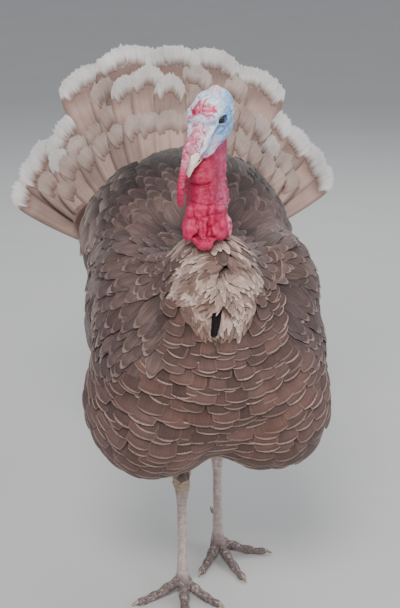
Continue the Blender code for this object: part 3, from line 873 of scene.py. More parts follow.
def bareSkinMaterial():
    board = Board("bareSkin", Roughness=0.5, Specular_IOR_Level=0.42, Subsurface_Weight=0.12,
                  Subsurface_Scale=0.006)
    place = board.place()
    mottle = board.noise(place, 260, 4)
    pores = board.cells(place, 900)
    veins = board.noise(place, 90, 5)
    value = board.step(mottle, 0.3, 0.7, 0.84, 1.14) * board.step(veins, 0.3, 0.7, 0.90, 1.10)
    board.feed(Base_Color=board.shade(board.attribute("zone"), value))
    board.feed(Roughness=board.step(mottle, 0.3, 0.7, 0.40, 0.58))
    board.bump(pores * 0.6 + mottle * 0.8, 0.0006, 0.55)
    return board.material


def legMaterial():
    board = Board("legScale", Roughness=0.55, Specular_IOR_Level=0.40)
    place = board.place()
    _, _, height = board.split(place)
    plate = board.cells(place, 330, feature="DISTANCE_TO_EDGE")
    seam = board.step(plate, 0.0, 0.10)
    dirt = board.noise(place, 120, 5)
    saw = (height / legLook["scute"]).math("FRACT")
    edge = board.step(saw, 0.0, 0.16, 0.78, 1.0)
    shank = board.step(height, 0.030, 0.044)
    lines = 1 - shank * (1 - edge)
    value = board.step(dirt, 0.3, 0.7, 0.80, 1.12) * (0.78 + seam * 0.22) * lines
    board.feed(Base_Color=board.shade(board.attribute("zone"), value))
    board.feed(Roughness=board.step(dirt, 0.3, 0.7, 0.45, 0.68))
    board.bump(seam * 0.7 + dirt * 0.3, 0.0006, 0.5)
    return board.material


def hiddenSkinMaterial():
    board = Board("downySkin", Roughness=0.85)
    down = board.noise(board.place(), 140, 5)
    tone = board.mix(board.step(down, 0.35, 0.65), (0.085, 0.052, 0.042), (0.17, 0.115, 0.10))
    board.feed(Base_Color=tone)
    board.bump(down, 0.002, 0.6)
    return board.material


skin = buildSkin()
say("skin", len(skin.data.vertices))
paintSkin(skin.data)
fleshNodes = ["trunk", "head", "neck", "caruncles", "snood", "wing_left", "wing_right"]
for side in sides:
    fleshNodes += ["thigh_" + side] + legNodes(side)
skin.data.materials.clear()
finishPiece(skin, "bare_skin", fleshNodes, bareSkinMaterial(), legMaterial(), hiddenSkinMaterial())
for face in skin.data.polygons:
    place = face.center
    isNeck = place.z > 0.60 and place.y < -0.135 and abs(place.x + 0.019) < 0.07
    face.material_index = 0 if isNeck or place.z > 0.735 else 1 if place.z < 0.225 else 2
say("skin painted")


def featherMaterial(name, look):
    # tint from the piece: coolness, edging, darkening, and a random number in its alpha
    rough = look["rough"]
    board = Board(name, Roughness=rough, Specular_IOR_Level=0.35, Sheen_Weight=0.10, Sheen_Roughness=0.5)
    vane = board.uv("vane")
    across, along, _ = board.split(vane)
    cool, edging, darkening = board.split(board.attribute("tint"))
    odd = board.attribute("tint", "Alpha")
    place = board.place()
    side = (across * 2 - 1).math("ABSOLUTE")
    patch = board.noise(place, 16, 4)
    fray = board.noise(place, 420, 2)
    broken = board.step(board.noise(place, 110, 2), look["breakFrom"], look["breakFrom"] + 0.16)
    long = board.node("ShaderNodeMapping", values={"Vector": vane, "Scale": (look["streaks"], 2.2, 1.0)})
    streak = board.noise(long, 1.0, 3)
    barbs = ((along * look["barbs"] - side * look["barbs"] * 0.45 + fray * 1.2) * 6.2832).math("SINE")
    ground = board.mix(cool, look["warm"], look["cool"])
    # the ground runs up from the root colour: painted shade where the feathers before it overlap the root; on
    # the tail partly the quills' own darker base as well, and in the fringe the quills' own dark band
    ground = board.mix(board.step(along + fray * 0.06, 0.0, look["rootTo"]), look["rootColour"], ground)
    value = board.step(odd, 0.0, 1.0, 1 - look["oddness"], 1 + look["oddness"])
    value = value * board.step(patch, 0.30, 0.70, 0.80, 1.18)
    value = value * board.step(side, 0.78, 1.0, 1.0, 1 - look["sideShade"]) * (1 - darkening * 0.70)
    value = value * (1 + barbs * look["barbShade"])
    value = value * board.step(streak, 0.28, 0.72, 1 - look["streak"], 1 + look["streak"])
    colour = board.shade(ground, value)
    # a dark band, on the tail the quills' own band and on the body feathers a painted shadow line inside the
    # pale edge; the pale edge outside it and a rim down both sides
    bandAt = along - side * side * look["round"] + fray * 0.05
    band = board.step(bandAt, look["band"] - 0.10, look["band"]) * edging * look["bandDepth"]
    colour = board.mix(band, colour, look["bandColour"])
    tip = board.step(bandAt, look["edgeAt"], look["edgeAt"] + look["edgeSoft"])
    rim = board.step(side + fray * 0.10, 0.86, 1.0) * board.step(along, 0.35, 0.6) * look["rim"]
    edge = tip.math("MAXIMUM", rim) * edging * broken
    colour = board.mix(edge, colour, look["edgeColour"])
    shaft = (1 - board.step(side, 0.015, 0.06)) * board.step(along, 1.0, 0.7) * look["shaft"]
    board.feed(Base_Color=board.mix(shaft, colour, look["shaftColour"]))
    board.feed(Roughness=board.step(patch, 0.3, 0.7, rough - 0.06, rough + 0.08))
    board.bump(barbs * 0.35 + fray * 0.35 + streak * 0.6, 0.0006, 0.4)
    return board.material


# rootColour here is painted shade, darkening each feather towards its root where the feathers before it lie
# over it, and bandColour is a painted shadow line inside the pale edge; the mantle, flank and hock looks keep
# painted root shade in their own root colours
bodyLook = {
    "warm": (0.142, 0.073, 0.058), "cool": (0.100, 0.068, 0.069), "edgeColour": (0.43, 0.295, 0.245),
    "rootColour": (0.016, 0.009, 0.009), "rootTo": 0.98, "edgeAt": 0.957, "edgeSoft": 0.028,
    "rim": 0.22, "round": 0.03, "band": 0.945, "bandDepth": 0.50, "bandColour": (0.060, 0.030, 0.024),
    "barbs": 18, "barbShade": 0.05, "streaks": 30.0, "streak": 0.15, "breakFrom": 0.26,
    "shaft": 0.08, "shaftColour": (0.26, 0.17, 0.14), "rough": 0.62, "oddness": 0.26, "sideShade": 0.0,
}
bibLook = dict(
    bodyLook, warm=(0.58, 0.410, 0.345), cool=(0.24, 0.145, 0.115), edgeColour=(0.80, 0.650, 0.580),
    rootColour=(0.22, 0.130, 0.104), rootTo=0.50, edgeAt=0.84, edgeSoft=0.12, bandDepth=0.0,
    streak=0.42, streaks=9.0, breakFrom=0.36, rim=0.5)
mantleLook = dict(
    bodyLook, warm=(0.146, 0.088, 0.074), cool=(0.097, 0.067, 0.069), edgeColour=(0.40, 0.285, 0.250),
    rootColour=(0.030, 0.019, 0.018), rootTo=0.90, edgeAt=0.950, rim=0.40, streak=0.42, streaks=34.0,
    shaft=0.15, shaftColour=(0.19, 0.135, 0.12), rough=0.55)
flankLook = dict(
    mantleLook, warm=(0.33, 0.232, 0.200), cool=(0.20, 0.142, 0.128), edgeColour=(0.56, 0.44, 0.395),
    rim=0.9, streaks=20.0, streak=0.45)
hockLook = dict(
    mantleLook, warm=(0.34, 0.250, 0.180), cool=(0.22, 0.150, 0.118), edgeColour=(0.50, 0.40, 0.31))
hockMaterial = featherMaterial("hockFeather", hockLook)
flankMaterial = featherMaterial("flankFeather", flankLook)
coatMaterial = featherMaterial("bodyFeather", bodyLook)
bibMaterial = featherMaterial("bibFeather", bibLook)
mantleMaterial = featherMaterial("mantleFeather", mantleLook)

# the body coat, laid in rows round the body from the foot of the neck
coat = {
    "centre": Vector((-0.007, -0.020, 0.460)),
    "pole": Vector((-0.010, -0.165, 0.150)).normalized(),
    "fromPolar": 0.02, "toPolar": 2.95,
    "rowStep": 0.0146,  # from one row to the next, along the surface
    "sideStep": 0.0225,
    "around": 0.215,  # radius that the feathers of a row are counted for
    "length": 0.050,
    "width": 0.042,
    "lift": 0.0068,
    "arch": 0.0014,
    "sink": 0.0060,  # depth of the roots, and how much more at the flanks and below
    "sinkMore": 0.0035,
    "thick": 0.0005,
    "patch": (0.003, 0.0055),  # size of a feather in the bake map
    "lowest": 0.208,
    "softLong": 1.20, "softNarrow": 0.66,  # soft feathers against stiff ones
    "swing": 0.16,  # how far a feather may turn from its row
}
poleSide = coat["pole"].cross(Vector((1, 0, 0))).normalized()
poleAcross = poleSide.cross(coat["pole"]).normalized()
breastVane = makeVane(6, 4, 0.62, 0.74, 0.93, 0.09, rowPower=0.70)
softVane = makeVane(6, 4, 0.50, 0.60, 0.62, 0.20, rowPower=0.75)


def coatRay(polar, turn):
    # direction at an angle from the pole, turned round it
    around = poleAcross * math.cos(turn) + poleSide * math.sin(turn)
    return coat["pole"] * math.cos(polar) + around * math.sin(polar)


def coatSpot(polar, turn):
    ray = coatRay(polar, turn)
    hit, normal, _, _ = formTree.ray_cast(coat["centre"] + ray * 0.6, -ray)
    return hit, normal


def unwrapPlace(spot):
    # the skin laid out flat round its pole
    ray = (spot - coat["centre"]).normalized()
    polar = ray.angle(coat["pole"])
    turn = math.atan2(ray.dot(poleSide), ray.dot(poleAcross))
    reach = polar / math.pi * 0.485
    return 0.5 + reach * math.cos(turn), 0.5 + reach * math.sin(turn)


hub = onBody(0.0, 0.075, 0.425)
fanLean = math.radians(10)


def behindFan(spot):
    # how far a place lies behind the plane of the tail
    return (spot.y - hub.y) * math.cos(fanLean) - (spot.z - hub.z) * math.sin(fanLean)


def offMiddle(spot):
    # distance to either side of the body's middle
    return abs(spot.x + 0.007)


def bibShare(spot):
    # 1 on the pale bib below the neck, falling to 0 at its edge
    gap = math.hypot((spot.x + 0.016) / 0.066, (spot.z - 0.578) / 0.064)
    return 1.0 - clamp((gap - 0.80) / 0.25) if spot.y < -0.12 else 0.0


def regionOf(spot):
    # what kind of feather grows at a place: greyness, edging, size, and whether it is a soft one
    upper = clamp((spot.z - 0.43) / 0.12)
    outward = clamp((offMiddle(spot) - 0.045) / 0.055)
    back = clamp((spot.y + 0.19) / 0.12)
    shoulder = upper * max(outward, back) * (1 - bibShare(spot))
    side = clamp((offMiddle(spot) - 0.09) / 0.08)
    hump = upper * back * (1 - side)
    dark = clamp((spot.z - 0.60) / 0.05) * hump * (1 - 0.6 * clamp(spot.x / 0.06))
    tract = spot.x < -0.118 and spot.z > 0.550 and spot.y < 0.06
    if not tract and spot.z < 0.58:
        dark = max(dark, 0.20 * outward * upper)
    return {
        "cool": 0.10 + 0.40 * side + 0.40 * shoulder,
        "edge": 1.2 if tract else 1.0 - 0.70 * hump - 0.15 * side,
        "size": 1.0 + 0.55 * shoulder + 0.4 * tract,
        "soft": shoulder > 0.42 or tract or spot.z > 0.590,
        "dark": dark, "tract": tract,
    }


def inWing(spot, normal):
    beside = offMiddle(spot) > 0.095 and abs(normal.x) > 0.45
    return beside and 0.005 < spot.y < 0.060 and 0.30 < spot.z < 0.50


def fineness(polar):
    # feathers are smallest round the bib and grow away from it
    return min(1.0, 0.38 + 0.62 * polar)


def alongSkin(direction, normal):
    return direction - normal * direction.dot(normal)


def coatFeather(polar, turn, even):
    # one feather of the body, or None where none grows
    hit, normal = coatSpot(polar, turn)
    if hit is None or hit.z < coat["lowest"] or inWing(hit, normal) or bibShare(hit) > 0.78:
        return None
    region = regionOf(hit)
    ahead = coatRay(polar + 0.04, turn) - coatRay(polar, turn)
    if region["soft"] and hit.y < 0.02:
        ahead = ahead.normalized() + Vector((0, 0.25, -0.45))
    ahead = alongSkin(ahead, normal).normalized()
    size = region["size"]
    length = coat["length"] * size * dice.uniform(0.90, 1.12)
    width = coat["width"] * size**0.25 * dice.uniform(0.86, 1.10)
    if region["soft"]:
        length, width = length * coat["softLong"], width * coat["softNarrow"]
    else:
        length, width = length * fineness(polar), width * fineness(polar)
    if region["tract"]:
        ahead, width = (ahead + Vector((-0.3, 0, -0.8))).normalized(), width * 0.72
    if hit.z > hub.z - 0.03:
        # behind the fan feathers hang down, and none pokes through it from the front
        if behindFan(hit) > 0.010:
            ahead = alongSkin(Vector((0, 0.2, -1)), normal)
        elif behindFan(hit + ahead * length) > -0.012:
            return None
    if hit.z < 0.26:
        length, width = length * 0.75, width * 0.72
    cool = region["cool"] + dice.uniform(-0.16, 0.16)
    flank = clamp((offMiddle(hit) - 0.085) / 0.04)
    below = clamp((0.33 - hit.z) / 0.06)
    swing = Matrix.Rotation(dice.uniform(-coat["swing"], coat["swing"]), 3, normal)
    lift = coat["lift"] * dice.uniform(0.75, 1.3) * (0.6 if hit.y > 0.04 else 1.0 + 0.55 * flank)
    edging = min(1.0, region["edge"] * dice.uniform(0.30, 1.0)) * (0.75 if region["soft"] else 1.0)
    return {
        "root": hit, "ahead": swing @ ahead, "length": length, "width": width, "lift": lift,
        "soft": region["soft"], "flank": region["tract"], "even": even,
        "sink": coat["sink"] + coat["sinkMore"] * max(flank, below),
        "tint": (clamp(cool), edging, region["dark"], dice.random()),
    }


def growCoat():
    rows, polar = [], coat["fromPolar"]
    while polar < coat["toPolar"]:
        hit, _ = coatSpot(polar, math.radians(-90))
        rows.append(polar)
        polar += coat["rowStep"] / max((hit - coat["centre"]).length, 0.16) * fineness(polar)
    feathers = []
    for n, (polar, after) in enumerate(zip(rows, rows[1:])):
        around = 2 * math.pi * coat["around"] * math.sin(polar)
        count = max(5, int(around / (coat["sideStep"] * fineness(polar))))
        for k in range(count):
            turn = 2 * math.pi * (k + 0.5 * (n % 2) + dice.uniform(-0.16, 0.16)) / count
            wander = dice.uniform(-0.016, 0.016) * min(1.0, polar / 0.2)
            feathers.append(coatFeather(polar + wander, turn, k % 2))
            here, there = coatSpot(polar, turn)[0], coatSpot(after, turn)[0]
            if here and there and (here - there).length > 1.20 * coat["rowStep"]:
                # an extra row where the surface slopes away from the rows
                feathers.append(coatFeather((polar + after) / 2, turn + math.pi / count, k % 2))
    return [f for f in feathers if f]


bib = {
    "rowStep": 0.0046, "sideStep": 0.0056, "length": 0.027, "width": 0.0082,
    "lift": 0.0030, "coverLift": 0.0085, "arch": 0.0004, "sink": 0.0042, "partedSink": 0.004,
    "top": 0.660, "height": 0.17, "middle": -0.010, "aside": 15,  # feathers to each side of the middle
}


def growBib():
    # short shaggy feathers that spread from the foot of the neck and close again below the beard
    feathers = []
    for n in range(int(bib["height"] / bib["rowStep"])):
        z = bib["top"] - bib["rowStep"] * n
        for k in range(-bib["aside"], bib["aside"] + 1):
            x = bib["middle"] + (k + 0.5 * (n % 2)) * bib["sideStep"] + dice.uniform(-0.0025, 0.0025)
            rise = 0.9 * abs(x - bib["middle"]) ** 1.5
            start = Vector((x, -0.6, z + rise + dice.uniform(-0.003, 0.003)))
            hit, normal, _, _ = formTree.ray_cast(start, Vector((0, 1, 0)))
            if hit is None or hit.y > -0.12:
                continue
            share = bibShare(hit)
            if share < dice.uniform(0.05, 0.50):
                continue
            swirl = noise.noise(hit * 38.0)
            outward = (x + 0.012) / 0.06
            turn = 2.6 * outward + 2.2 * swirl if hit.z > 0.560 else -1.1 * outward + 1.2 * swirl
            ahead = Vector((turn + dice.uniform(-0.35, 0.35), 0, -1.0))
            clump = noise.noise(hit * 45.0 + Vector((3, 0, 0))) + 0.5 * noise.noise(hit * 120.0)
            # in the parting round the beard the feathers sink deeper and take a darker tone, painted shade in
            # the parting
            parted = max(0.0, 1 - abs(x + 0.012) / 0.012) * (1 if hit.z < 0.560 else 0)
            cover = abs(x + 0.012) < 0.018 and 0.560 <= hit.z < 0.592
            brown = max(0.0, 1 - abs(outward) / 0.45) * (hit.z > 0.588) * 0.45
            brown += max(0.0, (0.550 - hit.z) / 0.03) * 0.6
            tone = 0.22 + 1.5 * clump + brown + 0.5 * (1 - share) + 0.7 * parted + dice.uniform(-0.10, 0.10)
            lift = bib["coverLift"] if cover else bib["lift"]
            feathers.append({
                "root": hit, "ahead": alongSkin(ahead, normal),
                "length": bib["length"] * dice.uniform(0.75, 1.25),
                "width": bib["width"] * dice.uniform(0.7, 1.3), "lift": lift * dice.uniform(0.7, 1.3),
                "arch": bib["arch"], "sink": bib["sink"] + bib["partedSink"] * parted, "even": k % 2,
                "tint": (clamp(tone), clamp(0.75 - tone + dice.uniform(-0.2, 0.2)), 0.0, dice.random()),
            })
    return feathers


def layCoat(name, feathers, vane, material, *nodeNames):
    plumage = Plumage(vane)
    for f in feathers:
        arch, sink = f.get("arch", coat["arch"]), f["sink"] - 0.0005 * f["even"]
        laid = layOn(formTree, vane, f["root"], f["ahead"], f["length"], f["width"], f["lift"], arch, sink)
        plumage.add(laid, f["tint"], (*unwrapPlace(f["root"]), *coat["patch"]))
    plumage.join(name, coat["thick"], "plumage", nodeNames, material)


def oneFeather(look, hit, normal, ahead, even, narrow=1.0, **more):
    # a feather whose sizes and tints come from the look of its place
    return {
        "root": hit, "ahead": alongSkin(ahead, normal), "length": dice.uniform(*look["length"]),
        "width": dice.uniform(*look["width"]) * narrow, "lift": look["lift"], "sink": look["sink"],
        "even": even, **more,
        "tint": (dice.uniform(*look["cool"]), dice.uniform(*look["edging"]), look["dark"], dice.random()),
    }


def isBreast(feather):
    return feather["root"].y <= -0.02 and feather["root"].z < 0.5


bodyFeathers = growCoat()
stiff = [f for f in bodyFeathers if not f["soft"]]
soft = [f for f in bodyFeathers if f["soft"]]
layCoat("coat_breast", [f for f in stiff if isBreast(f)], breastVane, coatMaterial, "trunk")
layCoat("coat_body", [f for f in stiff if not isBreast(f)], breastVane, coatMaterial,
        "trunk", "thigh_left", "thigh_right")
layCoat("coat_mantle", [f for f in soft if not f["flank"]], softVane, mantleMaterial, "trunk")
layCoat("coat_flank", [f for f in soft if f["flank"]], softVane, flankMaterial, "trunk")


scapular = {
    "count": 56, "vane": makeVane(4, 8, 0.55, 0.75, 0.55, 0.08), "arch": 0.0020, "thick": 0.0005,
    "reach": (0.058, 0.080), "width": (0.022, 0.028), "patch": (0.003, 0.009),
    "spread": {"left": 0.45, "right": 1.0},  # the bird's right shoulder opens wider
}


def makeScapulars(side):
    # long curved feathers that close the gap between the shoulder and the fan
    sign, spread = sides[side], scapular["spread"][side]
    middle = onBody(0.0, 0, 0).x
    plumage = Plumage(scapular["vane"])
    for n in range(scapular["count"]):
        t, layer = dice.uniform(0.0, 1.0), n / scapular["count"]
        start = Vector((middle + sign * (0.070 + 0.055 * t), 0.070 - 0.085 * layer, 0.668 - 0.080 * t))
        start = formTree.find_nearest(start)[0]
        reach = dice.uniform(*scapular["reach"])
        outward = spread * (0.75 - 0.25 * t) * (0.55 + 0.45 * (1 - layer))
        bend = start + Vector((sign * reach * (0.16 + 0.34 * outward), 0.006, -reach * 0.12))
        end = start + Vector((sign * reach * (0.12 + 0.60 * outward), 0.022, -reach * 0.80))
        normal = Vector((sign * 0.80, -0.42, 0.42)).normalized()
        across = (end - start).cross(normal).normalized()
        spine, width = bentLine(start, bend, end), dice.uniform(*scapular["width"])
        laid = layAlong(plumage.vane, spine, across, normal, width, scapular["arch"])
        darker = 0.30 * (1 - layer) if side == "right" else 0.55
        tint = (dice.uniform(0.0, 0.9), dice.uniform(0.6, 1.0), darker, dice.random())
        plumage.add(laid, tint, (*unwrapPlace(start), *scapular["patch"]))
    plumage.join("scapulars_" + side, scapular["thick"], "plumage", ["trunk"], flankMaterial)


for side in sides:
    makeScapulars(side)

collar = {
    "rings": (0.018, 0.026, 0.034, 0.043, 0.053, 0.064),  # radii round the neck
    "sideStep": 0.0125, "length": (0.030, 0.044), "width": (0.016, 0.024), "lift": 0.0045, "sink": 0.0030,
    "cool": (0.2, 0.9), "edging": (0.1, 0.6), "dark": 0.0,
}


def growCollar():
    # feathers that close the coat round the foot of the neck, pointing away from it
    feathers = []
    axis = onBody(-0.013, -0.326, 0.0)
    for n, radius in enumerate(collar["rings"]):
        count = int(2 * math.pi * radius / collar["sideStep"])
        for k in range(count):
            turn = 2 * math.pi * (k + 0.5 * (n % 2) + dice.uniform(-0.15, 0.15)) / count
            away = Vector((math.cos(turn), math.sin(turn), 0))
            above = Vector((*(axis + away * radius).xy, 0.80))
            hit, normal, _, _ = formTree.ray_cast(above, downward)
            if hit is None or (away.y < -0.2 and radius > 0.046):
                continue
            ahead = away + Vector((0, 0, -0.9))
            narrow = 0.75 if away.y < 0.1 else 1.0
            front = away.y < 0.1 and -0.056 < hit.x < 0.024
            feathers.append(oneFeather(collar, hit, normal, ahead, k % 2, narrow, front=front))
    return feathers


hockCoat = {
    "heights": (0.220, 0.230, 0.242), "count": 16, "length": (0.018, 0.026), "width": (0.009, 0.013),
    "lift": 0.0030, "sink": 0.0035, "cool": (0.0, 0.8), "edging": (0.4, 0.9), "dark": 0.0,
}


def growHock(side):
    # feathers that hang round the top of the leg
    low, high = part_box("shank_" + side)
    feathers = []
    for z in hockCoat["heights"]:
        middle = Vector(((low.x + high.x) / 2, low.y + 0.020, z))
        for k in range(hockCoat["count"]):
            turn = 2 * math.pi * (k + dice.uniform(0, 0.6)) / hockCoat["count"]
            away = Vector((math.cos(turn), math.sin(turn), 0))
            hit, normal, _, _ = formTree.ray_cast(middle + away * 0.06, -away)
            if hit is None or (hit - middle).length > 0.055:
                continue
            feathers.append(oneFeather(hockCoat, hit, normal, downward + away * 0.15, k % 2))
    return feathers


rump = {
    "rowStep": 0.0135, "sideStep": 0.0190, "fromX": 0.042, "toX": 0.140, "top": 0.500, "bottom": 0.270,
    "length": (0.040, 0.052), "width": (0.030, 0.038), "lift": 0.0055, "sink": 0.0050,
    "cool": (0.0, 0.5), "edging": (0.3, 0.9), "dark": 0.10,
}


def growRump():
    # feathers on the rear of the flanks, behind and inside the wings, which the rows do not reach
    feathers = []
    middle = onBody(0.0, 0, 0).x
    for n in range(int((rump["top"] - rump["bottom"]) / rump["rowStep"])):
        z = rump["top"] - rump["rowStep"] * n
        for k in range(int((rump["toX"] - rump["fromX"]) / rump["sideStep"])):
            for sign in sides.values():
                aside = rump["fromX"] + (k + 0.5 * (n % 2)) * rump["sideStep"]
                x = middle + sign * aside + dice.uniform(-0.003, 0.003)
                hit, normal, _, _ = formTree.ray_cast(Vector((x, 0.50, z)), Vector((0, -1, 0)))
                if hit is None or hit.y < 0.0 or normal.y < 0.10:
                    continue
                ahead = Vector((sign * 0.10, 0.25, -1.0))
                feathers.append(oneFeather(rump, hit, normal, ahead, k % 2))
    return feathers


layCoat("coat_rump", growRump(), breastVane, coatMaterial, "trunk")
neckFeathers = growCollar()
layCoat("coat_collar", [f for f in neckFeathers if not f["front"]], softVane, mantleMaterial, "trunk")
layCoat("coat_throat", [f for f in neckFeathers if f["front"]], softVane, bibMaterial, "trunk")
for side in sides:
    layCoat("coat_hock_" + side, growHock(side), softVane, hockMaterial, "thigh_" + side)
bibVane = makeVane(4, 4, 0.45, 0.55, 0.55, 0.20, rowPower=0.8)
layCoat("coat_bib", growBib(), bibVane, bibMaterial, "trunk")

# the tail: stiff quills, each with its frayed tip, and the coverts over them
tail = {
    # angle from upright towards the bird's left, reach from the hub, breadth of the tip in degrees, whiteness
    "quills": [
        (-56.5, 0.319, 9.5, 1), (-50, 0.326, 9.0, 1), (-44, 0.331, 9.0, 1), (-37.5, 0.322, 9.0, 1),
        (-32, 0.336, 9.5, 1), (-22, 0.393, 12.5, 1), (-16.5, 0.362, 10, 0.15), (-10.3, 0.406, 13.0, 1),
        (-4.5, 0.366, 10, 0.8), (1.5, 0.399, 12.0, 1), (7, 0.370, 10, 0.4), (12, 0.401, 11.5, 1),
        (18, 0.366, 10, 0.15), (24.8, 0.390, 13.5, 1), (36, 0.343, 9.5, 1), (43.5, 0.340, 9.5, 1),
        (50.5, 0.338, 9.5, 1), (57, 0.332, 9.0, 1),
    ],
    "long": [
        (-50, 0.292, 8, 0.08), (-42, 0.303, 8, 0.9), (-34, 0.300, 8, 0.2), (-26, 0.300, 8, 0.05),
        (-19, 0.318, 8, 0.05), (-12, 0.358, 8.5, 0.8), (-5.5, 0.367, 8.5, 0.85), (0.5, 0.350, 8, 0.75),
        (8, 0.325, 8, 0.1), (14, 0.320, 8, 0.05), (19, 0.325, 8.5, 0.05), (25, 0.320, 8.5, 0.05),
        (31, 0.318, 8.5, 0.3), (37, 0.300, 8.5, 0.6), (44, 0.292, 8.5, 0.15), (51, 0.280, 8.5, 0.05),
    ],
    "short": [
        (-46, 0.262, 10, 0.04), (-40, 0.285, 9, 0.08), (-33, 0.276, 9, 0.12), (-26, 0.279, 9, 0.08),
        (-19, 0.284, 9, 0.12), (-12.5, 0.291, 9, 0.16), (-6.5, 0.288, 9, 0.12), (-0.5, 0.290, 9, 0.12),
        (6, 0.286, 9, 0.08), (13, 0.282, 9, 0.04), (20, 0.280, 9, 0.04), (27, 0.276, 9, 0.12),
        (33, 0.272, 9, 0.08), (40, 0.268, 9, 0.08), (46, 0.262, 9, 0.04),
    ],
    "base": [
        (-52 + 8 * n, 0.196 + 0.012 * abs(n / 6.5 - 1) + 0.006 * math.cos(n * 2.4), 10.5, 0.6)
        for n in range(14)
    ],
    "under": [(-50 + 9.1 * n, 0.205 - 0.012 * math.cos(n * 1.9), 13, 0.3) for n in range(12)],
    "vent": [(-44 + 9.8 * n, 0.155, 15, 0.5) for n in range(10)],
    "spread": math.radians(61), "cup": 0.10, "inner": 0.05, "overlap": 1.28,
    "thick": 0.0007, "roll": 0.0026, "arch": 0.0012, "tipCurl": 0.004, "stagger": 0.0006,
    "patch": (0.8, 0.94),  # share of its cell in the bake map, across and along
}
lock = {"length": (0.030, 0.034), "spacing": 2.3, "splay": 0.24, "thick": 0.0003, "patch": (0.003, 0.009)}
tailLook = {
    "warm": (0.515, 0.355, 0.300), "cool": (0.385, 0.256, 0.214), "edgeColour": (0.71, 0.682, 0.665),
    "rootColour": (0.15, 0.088, 0.072), "rootTo": 0.62, "edgeAt": 0.925, "edgeSoft": 0.030,
    "rim": 0.0, "round": 0.03, "band": 0.925, "bandDepth": 0.70, "bandColour": (0.24, 0.145, 0.118),
    "barbs": 70, "barbShade": 0.05, "streaks": 14.0, "streak": 0.12, "breakFrom": -0.2,
    "shaft": 0.35, "shaftColour": (0.24, 0.15, 0.12), "rough": 0.62, "oddness": 0.26, "sideShade": 0.45,
}
fringeLook = dict(
    tailLook, warm=(0.71, 0.682, 0.665), cool=(0.46, 0.330, 0.280), rootColour=(0.31, 0.205, 0.170),
    rootTo=0.50, edgeAt=0.93, edgeSoft=0.05, edgeColour=(0.755, 0.735, 0.720), rim=0.0, round=0.0,
    band=2.0, bandDepth=0.0, barbs=5, shaft=0.0, sideShade=0.0, oddness=0.05)
quillVane = makeVane(10, 18, 0.10, 0.86, 0.90, 0.050)
covertVane = makeVane(8, 12, 0.30, 0.80, 0.80, 0.060)
lockVane = makeVane(2, 4, 0.75, 0.40, 0.22, 0.0)
fringeVane = makeVane(2, 4, 0.50, 0.70, 0.52, 0.12)
quillMaterial = featherMaterial("tailQuill", tailLook)
fringeMaterial = featherMaterial("tailFringe", fringeLook)


def fanPoint(radius, angle, forward=0.0):
    # a place on the fan, which cups forward towards its edges
    ahead = forward + tail["cup"] * (angle / tail["spread"]) ** 2 * radius
    across, up = radius * math.sin(angle), radius * math.cos(angle)
    leanY, leanZ = math.sin(fanLean), math.cos(fanLean)
    return hub + bodySize * Vector((across, up * leanY - ahead * leanZ, up * leanZ + ahead * leanY))


def fanUnwrap(radius, angle):
    # the fan laid out flat: its angle across and its reach upwards
    return 0.5 + angle / tail["spread"] * 0.46, 0.03 + radius / 0.42 * 0.93


def makeFan(name, feathers, vane, material, forward, facing, fringe, slot, node):
    # facing is 1 for the side towards the head and -1 for the back of the fan
    plumage, locks = Plumage(vane), Plumage(fringeVane)
    cell, inner = 1.0 / len(feathers), tail["inner"]
    for n, (degrees, reach, breadth, white) in enumerate(feathers):
        angle = math.radians(degrees)
        stack = forward - 0.004 * abs(degrees) / 60 * facing + tail["stagger"] * (n % 2)
        bend = dice.uniform(-0.006, 0.006)
        middle = (inner + reach) / 2
        side = (fanPoint(middle, angle + 0.02) - fanPoint(middle, angle - 0.02)).normalized()
        along = (fanPoint(reach, angle) - fanPoint(inner, angle)).normalized()
        normal = along.cross(side).normalized()
        normal = normal * (-1 if normal.y * facing > 0 else 1)
        width = 2 * reach * math.tan(math.radians(breadth) / 2) * bodySize * tail["overlap"]
        length = (reach - inner) * bodySize
        roll = tail["roll"] * facing * (1 if degrees > 0 else -1) * min(1.0, abs(degrees) / 6)

        def spineAt(share):
            curl = tail["tipCurl"] * facing * share**3
            place = fanPoint(inner + (reach - inner) * share, angle + bend * share, stack)
            return place + normal * curl

        laid = layAlong(vane, spineAt, side, normal, width, tail["arch"], roll)
        paler = -0.45 if white >= 0.75 and vane is covertVane else 0.0
        tint = (dice.uniform(0.0, 0.7), white, paler, dice.random())
        plumage.add(laid, tint, (cell * (n + 0.5), 0.5, cell * tail["patch"][0], tail["patch"][1]))
        wide = lock["spacing"] * width * vane["tip"] / max(1, fringe)
        for k in range(fringe):
            # one frayed lock of the tip
            u = -0.96 + 1.92 * (k + dice.uniform(0.3, 0.7)) / fringe
            long = dice.uniform(*lock["length"])
            ragged = 0.0040 * noise.noise(Vector((n * 7.3, k * 0.45, reach))) + dice.uniform(-0.0020, 0.0018)
            end = 1.0 - vane["round"] * u * u + (0.0025 + ragged) / length
            half = width / 2 * vane["tip"] * u
            tipAt = spineAt(end) + side * half + normal * (roll * u - tail["arch"] * u * u + 0.0004)
            splay = (along + side * (lock["splay"] * u + dice.uniform(-0.05, 0.05))).normalized()
            root = tipAt - splay * long
            lockSide = splay.cross(normal).normalized()

            def lockAt(share):
                return root + splay * (long * share) + normal * (0.0004 * share - 0.0001)

            turned = (normal + lockSide * 0.030).normalized()
            laid = layAlong(fringeVane, lockAt, lockSide, turned, wide * dice.uniform(0.9, 1.1), 0.0)
            tint = (clamp(1 - white + dice.uniform(-0.04, 0.06)), white, 0.0, dice.random())
            at = inner + (reach - inner) * (end - long / length)
            place = fanUnwrap(at, angle + 0.6 * u * math.radians(breadth) / 2)
            locks.add(laid, tint, (*place, *lock["patch"]))
    plumage.join(name, tail["thick"], slot, [node], material)
    if fringe:
        locks.join(name + "_fringe", lock["thick"], slot, [node], fringeMaterial)


